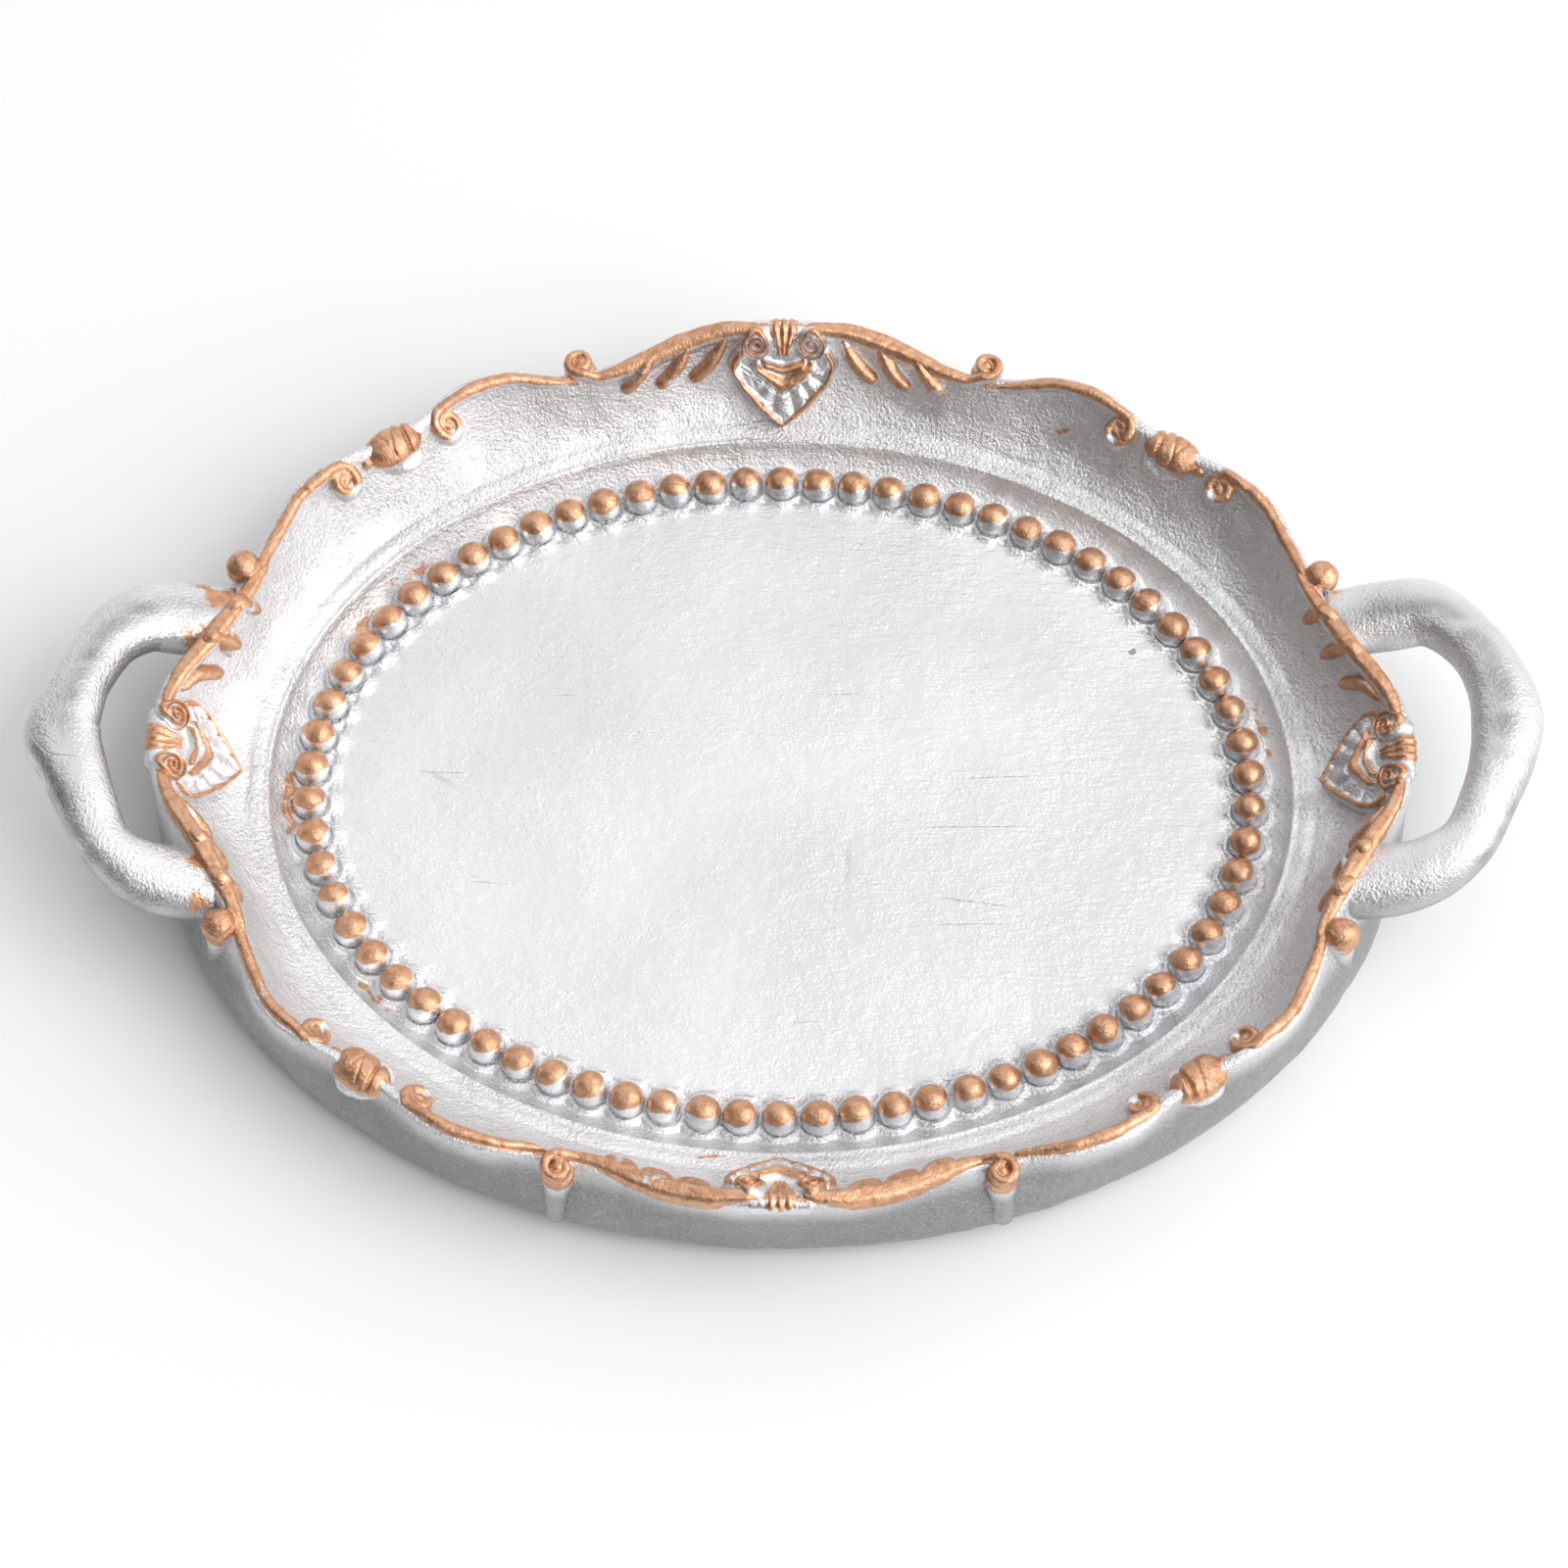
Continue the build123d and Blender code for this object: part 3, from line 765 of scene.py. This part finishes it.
def middle_scroll_parts():
    """Ribbon from the volute to the inward curl on the other side of the bud."""
    turns = np.linspace(62.8, 51.0, 50)
    bar = band(turns, (-0.7, -0.6, -0.55), (0.35, 0.7, 0.8, 0.95, 1.0), 0.8, 1.15, square=2.3)
    lead = crest_lead([53.5, 52.0, 50.4], 0.6, 1.0)
    return [bar] + curl(MIDDLE_CURL, 50, CURL_R, 1.2, -1, 0.95, lead=lead, tilt=CURL_TILT)


def long_scroll_parts():
    """Ribbon from the long shield to the volute, with the volute's roll down the outer wall."""
    turns = np.linspace(87.6, 65.6, 76)
    bar = band(turns, (-0.5, -0.2, -0.1, -0.25, -0.5), (0.9, 1.35, 1.45, 1.2, 0.75), 1.15, 1.7,
               square=2.5, groove=0.08)
    lead = crest_lead([68.5, 66.5], 0.5, 0.95)
    hook = curl(VOLUTE, -100, CURL_R, 1.1, 1, 0.78, 0.8, lead=lead)
    post = column(VOLUTE[0], 59.5, 15.8, 4.6, 2.25, -1.5, 0.62)
    return [bar, post] + hook


def scroll_gilt(at, normal, seed, cover):
    """Copper on the upper faces of a moulding, patchier down its outer side."""
    turn = np.degrees(np.arctan2(at[:, 1], at[:, 0]))
    point, out = crest(turn)
    drop = point[:, 2] - at[:, 2]
    facing = normal[:, 2] + 0.25 * (normal[:, 0] * out[:, 0] + normal[:, 1] * out[:, 1])
    upper = smooth(3.2, 1.7, drop) * smooth(-0.30, 0.25, facing)
    patch = soft_noise(at + seed * 7.7, 6.0)
    return np.clip(upper * (cover + 0.34 * patch), 0, 1)


QUARTERS = {
    "back_right": (1, 1), "back_left": (-1, 1), "front_right": (1, -1), "front_left": (-1, -1),
}


def make_scrolls():
    kinds = (("end", end_scroll_parts, 0.84), ("corner", corner_scroll_parts, 0.92),
             ("middle", middle_scroll_parts, 0.92), ("long", long_scroll_parts, 0.88))
    for index, (kind, builder, cover) in enumerate(kinds):
        at, normal, faces = fused(f"scroll_{kind}", builder(), 0.16)
        for number, (quarter, (sx, sy)) in enumerate(QUARTERS.items()):
            here = flip(at, sx, sy)
            there = flip(normal, sx, sy)
            rough = 0.06 * soft_noise(here + number * 3.1, 0.9)
            rough = rough + 0.08 * soft_noise(here - number * 5.3, 2.4)
            moved = here + there * rough[:, None]
            gilt = scroll_gilt(moved, there, number + index * 4, cover)
            # Painted shade: the lower parts of each scroll are darkened, more toward the bottom.
            dull = 0.9 * smooth(14.2, 10.5, moved[:, 2])
            obj = new_object(f"scroll_{kind}_{quarter}_painted", moved,
                             flip_faces(faces, sx, sy), gilt=gilt, dull=dull)
            place_piece(obj, f"rim_scroll_{kind}_{quarter}", RELIEF_PAINT)


def bud_parts():
    """Fat bud with two grooves across it, a narrow collar and a small berry."""
    centre, along, side = np.array(BUD), np.array(BUD_ALONG), np.array(BUD_SIDE)
    long, wide, high = BUD_HALF
    rows, around = 64, 48
    s = np.linspace(-1, 1, rows)[:, None]
    angle = (2 * math.pi * np.arange(around) / around)[None, :]
    swell = np.sqrt(np.maximum(1 - np.abs(s) ** 2.6, 0.0)) * (1 + 0.08 * s)
    line = s + 0.10 * np.cos(angle)
    cut = 0.24 * bump_at(line, -0.42, 0.06)
    cut = cut + 0.10 * bump_at(line + 0.16 * np.cos(angle), 0.06, 0.045)
    cut = cut + 0.07 * bump_at(line - 0.22 * np.cos(angle), 0.30, 0.04)
    size = np.maximum(swell - cut, 0.02)
    verts = (centre + along * (s * long)[..., None]
             + side * (wide * size * np.cos(angle))[..., None]
             + np.array([0, 0, 1.0]) * (high * size * np.sin(angle))[..., None]).reshape(-1, 3)
    faces = grid_faces(rows, around, True)
    faces.append(tuple(reversed(range(around))))
    faces.append(tuple((rows - 1) * around + c for c in range(around)))
    berry = blob(centre + along * 4.6 + (0, 0, -0.2), (1.0, 1.0, 1.2), 14, 18)
    lip = blob(centre + side * -0.3 + (0, 0, -2.0), (4.0, 2.9, 1.7), 16, 30, 0.06)
    return [(verts, faces), berry, lip]


def make_buds():
    at, normal, faces = fused("bud", bud_parts(), 0.14)
    for number, (quarter, (sx, sy)) in enumerate(QUARTERS.items()):
        here, there = flip(at, sx, sy), flip(normal, sx, sy)
        moved = here + there * (0.05 * soft_noise(here + number, 0.9))[:, None]
        gilt = np.clip(smooth(-0.25, 0.35, there[:, 2]) * smooth(14.2, 15.6, here[:, 2])
                       * (0.92 + 0.35 * soft_noise(here + number * 2.2, 3.0)), 0, 1)
        obj = new_object(f"bud_{quarter}_painted", moved, flip_faces(faces, sx, sy), gilt=gilt)
        place_piece(obj, f"bud_{quarter}", RELIEF_PAINT)


def leaf_bar(x0, y0, x1, y1, half):
    """Blunt finger-shaped leaf lying on the inner wall, slim where it leaves the ribbon."""
    s = np.linspace(0, 1, 34)
    bow = np.sin(s * math.pi) * 0.5
    dx, dy = x1 - x0, y1 - y0
    length = math.hypot(dx, dy)
    x = x0 + dx * s + bow * dy / length
    y = y0 + dy * s - bow * dx / length
    z = wall_z(x, y) + 0.8 * np.sin(np.clip(s * 1.05, 0, 1) * math.pi) ** 0.6 * smooth(0.02, 0.5, s)
    path = np.c_[x, y, z]
    side, up = frame_of(path)
    blunt = np.sqrt(np.clip((1 - s) * 5.5, 0, 1) * (2 - np.clip((1 - s) * 5.5, 0, 1)))
    width = half * (0.55 + 0.45 * smooth(0, 0.55, s))
    width = width * np.maximum(blunt, 0.05) * np.minimum(1, 0.3 + s * 6)
    return tube(path, side, up, width, 0.95 * width**0.7, around=22, groove=0.10)


def make_leaves():
    for kind, leaves in (("long", LONG_LEAVES), ("end", END_LEAVES)):
        parts = [leaf_bar(*leaf) for leaf in leaves]
        for number, (quarter, (sx, sy)) in enumerate(QUARTERS.items()):
            verts, faces = merge(parts)
            base = wall_z(verts[:, 0], verts[:, 1])
            proud = verts[:, 2] - base
            here = flip(verts, sx, sy)
            moved = here + 0.05 * soft_noise(here + number, 0.8)[:, None]
            patch = 0.78 + 0.5 * soft_noise(here + number * 4.4, 3.5)
            gilt = np.clip(smooth(0.1, 0.9, proud) * patch, 0, 1)
            obj = new_object(f"leaves_{kind}_{quarter}_painted", moved,
                             flip_faces(faces, sx, sy), gilt=gilt)
            place_piece(obj, f"leaves_{kind}_{quarter}", RELIEF_PAINT)


# ---- cartouches ---------------------------------------------------------------------------
# Shield laid flat: u runs across it, v up it from the point. Outline: v, half width.
SHIELD_OUTLINE = [
    (-0.5, 0.0), (0.0, 0.6), (1.0, 1.9), (3.0, 4.1), (5.0, 5.8), (7.0, 7.0), (8.4, 7.6),
    (9.5, 7.5), (10.4, 6.9), (11.4, 6.3), (12.8, 6.0), (14.0, 5.4), (15.0, 4.4), (17.0, 3.6),
]
SHIELD_START = -0.7
SHIELD_END = 16.4
SHIELD_HALF = 8.2
SCROLL_AT = (3.75, 12.1)
SCROLL_PITCH = 0.92
CREST_BEND = 0.9


def shield_half_width(v):
    table = np.array(SHIELD_OUTLINE)
    return np.interp(v, table[:, 0], table[:, 1])


def shield_relief(u, v, seed):
    """Height above the shield's ground, and how much copper lies on it."""
    width = shield_half_width(v)
    inset = (width - np.abs(u)) * np.cos(np.arctan(smooth(8.0, 4.0, v)))
    inset = inset + 0.16 * soft_noise(np.stack([u, v, 0 * u + seed], -1), 1.6)
    swing = np.arctan2(u, 9.6 - v)
    spread = np.abs(swing)

    lip = bump_at(inset, 0.8, 0.46) * smooth(11.6, 10.4, v)
    keel = (v - 5.3 - 0.80 * np.sqrt(u**2 + 0.35)) / 1.3
    big = bump_at(keel, 0.35, 0.95 - 0.10 * np.abs(u)) * smooth(4.4, 3.6, np.abs(u))
    small = bump_at((v - 8.0 - 0.40 * np.sqrt(u**2 + 0.3)) / 1.1, 0.3, 0.5)
    small = small * smooth(3.2, 2.4, np.abs(u))
    flute = np.abs(np.cos(swing * 7.5)) ** 0.6
    fan = smooth(0.9, 1.5, inset) * smooth(-0.6, -1.2, keel) * smooth(2.3, 1.9, spread)
    height = 0.35 + 0.95 * lip + fan * (0.05 + 0.55 * flute) + 1.15 * big + 1.15 * small
    height = height + 0.35 * smooth(-0.9, 0.0, keel) * smooth(4.6, 3.6, np.abs(u))
    copper = np.maximum.reduce([0.95 * lip, big, 0.85 * small, 0.10 * fan])

    for s in (-1, 1):
        du, dv = u - s * SCROLL_AT[0], v - SCROLL_AT[1]
        r = np.hypot(du, dv)
        wind = np.arctan2(dv, du * s)
        spiral = np.cos(2 * math.pi * (r / SCROLL_PITCH) + wind)
        boss = smooth(2.35, 1.95, r)
        height = np.maximum(height, boss * (1.45 + 0.42 * spiral))
        copper = np.maximum(copper * (1 - boss), boss * (0.58 + 0.42 * spiral))
    half = np.interp(v, (10.2, 11.6, 13.8), (0.9, 1.25, 2.2))
    stem = smooth(0.0, 0.45, half - np.abs(u)) * smooth(10.0, 10.8, v)
    ribs = np.abs(np.cos(u / half * math.pi * 2.0)) ** 0.7
    height = np.maximum(height, stem * (1.0 - 0.45 * smooth(12.0, 13.6, v) + 0.36 * ribs))
    copper = np.maximum(copper, stem * (0.5 + 0.4 * ribs))
    height = height * smooth(-0.05, 0.5, inset) * smooth(SHIELD_END, SHIELD_END - 1.8, v)
    copper = copper * smooth(SHIELD_END - 0.4, SHIELD_END - 2.0, v)
    return height - 1.2 * smooth(0.1, -0.4, inset), copper


def shield_mesh(tip, top, seed):
    """Shield laid up the inner wall and rolled over the crest; tip and top are (reach, z)."""
    slope = np.array([top[0] - tip[0], top[1] - tip[1]])
    straight = np.linalg.norm(slope)
    slope /= straight
    lean = math.atan2(slope[1], slope[0])
    u = np.linspace(-SHIELD_HALF, SHIELD_HALF, 190)
    v = np.linspace(SHIELD_START, SHIELD_END, 200)
    uu, vv = np.meshgrid(u, v)
    bend = CREST_BEND
    turned = np.clip((vv - straight) / bend, 0, lean + 1.25)
    beyond = np.maximum(vv - straight - bend * (lean + 1.25), 0)
    flat = np.minimum(vv, straight)
    heading = lean - turned
    reach = (tip[0] + slope[0] * flat + bend * (math.sin(lean) - np.sin(heading))
             + beyond * np.cos(heading))
    z = (tip[1] + slope[1] * flat + bend * (np.cos(heading) - math.cos(lean))
         + beyond * np.sin(heading))
    height, copper = shield_relief(uu, vv, seed)
    height = height + 0.08 * soft_noise(np.stack([uu, vv, 0 * uu + seed], -1), 0.8)
    reach = reach - np.sin(heading) * height
    z = z + np.cos(heading) * height
    points = np.stack([uu, reach, z], -1)
    inside = np.abs(uu) < shield_half_width(vv) + 0.12
    worn = 0.25 * soft_noise(np.stack([uu, vv, 0 * uu + seed * 3], -1), 2.6)
    copper = copper + worn * (copper > 0.2)
    return points, inside, copper, heading


def make_cartouche(name, tip, top, rotation, seed):
    points, inside, copper, heading = shield_mesh(tip, top, seed)
    rows, columns = inside.shape
    up_shield = np.linspace(SHIELD_START, SHIELD_END, rows)
    depth = np.interp(up_shield, (10.0, 12.5), (2.6, 0.8))[:, None]
    back = points.copy()
    back[..., 1] += np.sin(heading) * depth
    back[..., 2] -= np.cos(heading) * depth
    verts = np.vstack([points.reshape(-1, 3), back.reshape(-1, 3)])
    kept = inside[:-1, :-1] & inside[1:, :-1] & inside[:-1, 1:] & inside[1:, 1:]
    total = rows * columns
    faces, edges = [], {}
    for r, c in zip(*np.nonzero(kept)):
        a = r * columns + c
        quad = (a, a + 1, a + columns + 1, a + columns)
        faces.append(quad)
        faces.append(tuple(i + total for i in reversed(quad)))
        for p, q in zip(quad, quad[1:] + quad[:1]):
            if (q, p) in edges:
                del edges[(q, p)]
            else:
                edges[(p, q)] = True
    for p, q in edges:
        faces.append((q, p, p + total, q + total))
    turn = np.array(Matrix.Rotation(math.radians(rotation), 3, "Z"))
    used = np.unique(np.concatenate([np.array(f) for f in faces]))
    index = np.full(len(verts), -1)
    index[used] = np.arange(len(used))
    faces = [tuple(int(index[i]) for i in f) for f in faces]
    gilt = np.concatenate([copper.reshape(-1), np.zeros(total)])[used]
    obj = new_object(name + "_painted", verts[used] @ turn.T, faces, gilt=np.clip(gilt, 0, 1))
    place_piece(obj, name, RELIEF_PAINT)


def make_cartouches():
    make_cartouche("cartouche_back", *LONG_SHIELD, 0, 1)
    make_cartouche("cartouche_left", *END_SHIELD, 90, 2)
    make_cartouche("cartouche_front", *LONG_SHIELD, 180, 3)
    make_cartouche("cartouche_right", *END_SHIELD, 270, 4)


# ---- handles ------------------------------------------------------------------------------
def make_handles():
    around = HANDLE_AROUND
    for hand, sx in (("right", 1), ("left", -1)):
        path = catmull(HANDLES[hand], 11)
        centre, width = path[:, :3], path[:, 3]
        side, _ = frame_of(centre)
        side = np.where(np.sum(side * (centre - HANDLE_HOLE), axis=1)[:, None] < 0, -side, side)
        up = np.cross(np.gradient(centre, axis=0), side)
        up /= np.linalg.norm(up, axis=1)[:, None]
        up = np.where(up[:, 2:] < 0, -up, up)
        count = len(centre)
        thick = HANDLE_HALF_THICK * np.ones(count)
        verts, faces = tube(centre, side, up, width, thick, around=around, square=2.25)
        level = np.append(np.repeat(centre[:, 2], around), centre[[0, -1], 2])
        # Painted shade on the underside of each handle.
        sunk = smooth(0.6, -1.6, verts[:, 2] - level)
        turn = 2 * math.pi * np.arange(around) / around
        outward = np.append(np.tile(np.cos(turn), count), (0, 0))
        # Painted dark reflections: down the outer side at the front, and along the inner upper face
        # at the back.
        front = smooth(2.0, -9.0, verts[:, 1])
        lower_edge = front * smooth(0.35, 0.85, outward)
        hollow = (1 - front) * bump_at(outward, -0.15, 0.42)
        hollow = hollow * smooth(-0.5, 0.5, verts[:, 2] - level)
        verts = verts + 0.14 * soft_noise(verts, 4.5)[:, None] * (0.4, 0.4, 1.0)
        here = flip(verts, sx, 1)
        moved = here + 0.10 * soft_noise(here + 4 * sx, 6.0)[:, None]
        back = smooth(0, 8, here[:, 1])
        root = smooth(80.0 + 5.5 * back, 75.5, np.abs(here[:, 0])) * smooth(13.0, 17.0, here[:, 2])
        amount = 0.66 if sx < 0 else 0.2
        # The painted shade and painted reflections are broken into streaks and go to the shade
        # mask.
        streaky = 0.75 + 0.5 * soft_noise(here * (1, 3, 1), 5.0)
        dull = 0.8 * sunk + (0.75 * lower_edge + 0.85 * hollow) * np.clip(streaky, 0, 1.3)
        gilt = amount * root * (0.8 + 0.5 * soft_noise(here, 3.0))
        obj = new_object(f"handle_{hand}_painted", moved, flip_faces(faces, sx, 1),
                         gilt=np.clip(gilt, 0, 1), dull=np.clip(dull, 0, 1))
        place_piece(obj, f"handle_{hand}", HANDLE_PAINT)


# ---- studio and camera --------------------------------------------------------------------
# Metres, watts and degrees.
BOARD_HALF = 1.6
BOARD_STEPS = 9
BOARD_TONE = 0.92
SOFTBOX_PLACE = (0.85, -0.30, 0.85)
SOFTBOX_SIZE = (1.3, 1.3)
SOFTBOX_POWER = 11.0

# The sky grows lighter along this mix of axes, from one stop to the next.
SKY_WEIGHTS = (("X", 1.0), ("Y", 0.60), ("Z", 0.50))
SKY_STOPS = ((0.05, 0.05), (0.24, 0.17), (0.34, 0.33), (0.45, 0.68), (0.58, 0.90), (0.78, 1.0))
SKY_STRENGTH = 1.02

# Direction of the dim flag that hangs over the viewer's side of the set, and its edge.
DARK_FLAG = (0.0, -0.62, 0.78)
FLAG_FADE = {"From Min": 0.91, "From Max": 0.985, "To Min": 0.0, "To Max": -0.20}

# Camera solved from the bead border and rim: elevation, yaw and roll, then metres.
CAMERA_ANGLES = (62.65, -1.134, 1.516)
CAMERA_TARGET = (0.0004, 0.0, 0.0065)
CAMERA_DISTANCE = 0.6154
CAMERA_LENS = 105.97


def area_light(name, place, aim, size, power):
    """Rectangular lamp that looks at aim."""
    data = bpy.data.lights.new(name, "AREA")
    data.shape = "RECTANGLE"
    data.size, data.size_y = size
    data.energy = power
    light = bpy.data.objects.new(name, data)
    light.location = place
    light.rotation_mode = "QUATERNION"
    light.rotation_quaternion = (Vector(aim) - Vector(place)).to_track_quat("-Z", "Y")
    bpy.context.scene.collection.objects.link(light)


def make_studio():
    """White board under the tray, a sky that brightens to the right, and one softbox."""
    line = np.linspace(-BOARD_HALF / MM, BOARD_HALF / MM, BOARD_STEPS)
    gx, gy = np.meshgrid(line, line)
    verts = np.c_[gx.ravel(), gy.ravel(), np.full(gx.size, -0.05)]
    board = new_object("table_board", verts, grid_faces(BOARD_STEPS, BOARD_STEPS, False))
    board.data.materials.append(paper("studio_board", BOARD_TONE))

    world = bpy.data.worlds.new("studio_air")
    bpy.context.scene.world = world
    world.use_nodes = True
    tree = world.node_tree
    back = tree.nodes["Background"]
    place = tree.nodes.new("ShaderNodeTexCoord")
    split = tree.nodes.new("ShaderNodeSeparateXYZ")
    tree.links.new(place.outputs["Generated"], split.inputs[0])
    lean = None
    for axis, weight in SKY_WEIGHTS:
        term = tree.nodes.new("ShaderNodeMath")
        term.operation = "MULTIPLY_ADD"
        term.inputs[1].default_value = weight * 0.5
        tree.links.new(split.outputs[axis], term.inputs[0])
        if lean is None:
            term.inputs[2].default_value = 0.5
        else:
            tree.links.new(lean.outputs[0], term.inputs[2])
        lean = term
    ramp = tree.nodes.new("ShaderNodeValToRGB")
    stops = ramp.color_ramp.elements
    for position, level in SKY_STOPS:
        stop = stops.new(position)
        stop.color = (level, level, level * 1.005, 1)
    stops.remove(stops[0])
    stops.remove(stops[len(stops) - 1])
    toward = tree.nodes.new("ShaderNodeVectorMath")
    toward.operation = "DOT_PRODUCT"
    tree.links.new(place.outputs["Generated"], toward.inputs[0])
    toward.inputs[1].default_value = DARK_FLAG
    flag = tree.nodes.new("ShaderNodeMapRange")
    flag.interpolation_type = "SMOOTHSTEP"
    for slot, value in FLAG_FADE.items():
        flag.inputs[slot].default_value = value
    tree.links.new(toward.outputs["Value"], flag.inputs[0])
    darker = tree.nodes.new("ShaderNodeMath")
    darker.operation = "ADD"
    tree.links.new(lean.outputs[0], darker.inputs[0])
    tree.links.new(flag.outputs[0], darker.inputs[1])
    tree.links.new(darker.outputs[0], ramp.inputs[0])
    tree.links.new(ramp.outputs[0], back.inputs[0])
    back.inputs[1].default_value = SKY_STRENGTH

    area_light("side_softbox", SOFTBOX_PLACE, (0, 0, 0), SOFTBOX_SIZE, SOFTBOX_POWER)


def make_camera():
    """Camera of the photograph, looking at the tray from the front and above."""
    elevation, yaw, roll = (math.radians(angle) for angle in CAMERA_ANGLES)
    level = math.cos(elevation)
    back = Vector((math.sin(yaw) * level, -math.cos(yaw) * level, math.sin(elevation)))
    right = Vector((math.cos(yaw), math.sin(yaw), 0))
    up = back.cross(right)
    right, up = (right * math.cos(roll) + up * math.sin(roll),
                 up * math.cos(roll) - right * math.sin(roll))
    data = bpy.data.cameras.new("photo_camera")
    data.sensor_width = 36
    data.lens = CAMERA_LENS
    data.clip_start, data.clip_end = 0.02, 20
    camera = bpy.data.objects.new("photo_camera", data)
    axes = Matrix((right, up, back)).transposed()
    place = Vector(CAMERA_TARGET) + back * CAMERA_DISTANCE
    camera.matrix_world = Matrix.Translation(place) @ axes.to_4x4()
    bpy.context.scene.collection.objects.link(camera)
    bpy.context.scene.camera = camera
    bpy.context.scene.view_settings.view_transform = "Standard"


make_body()
make_beads()
make_scrolls()
make_buds()
make_leaves()
make_cartouches()
make_handles()
make_studio()
make_camera()
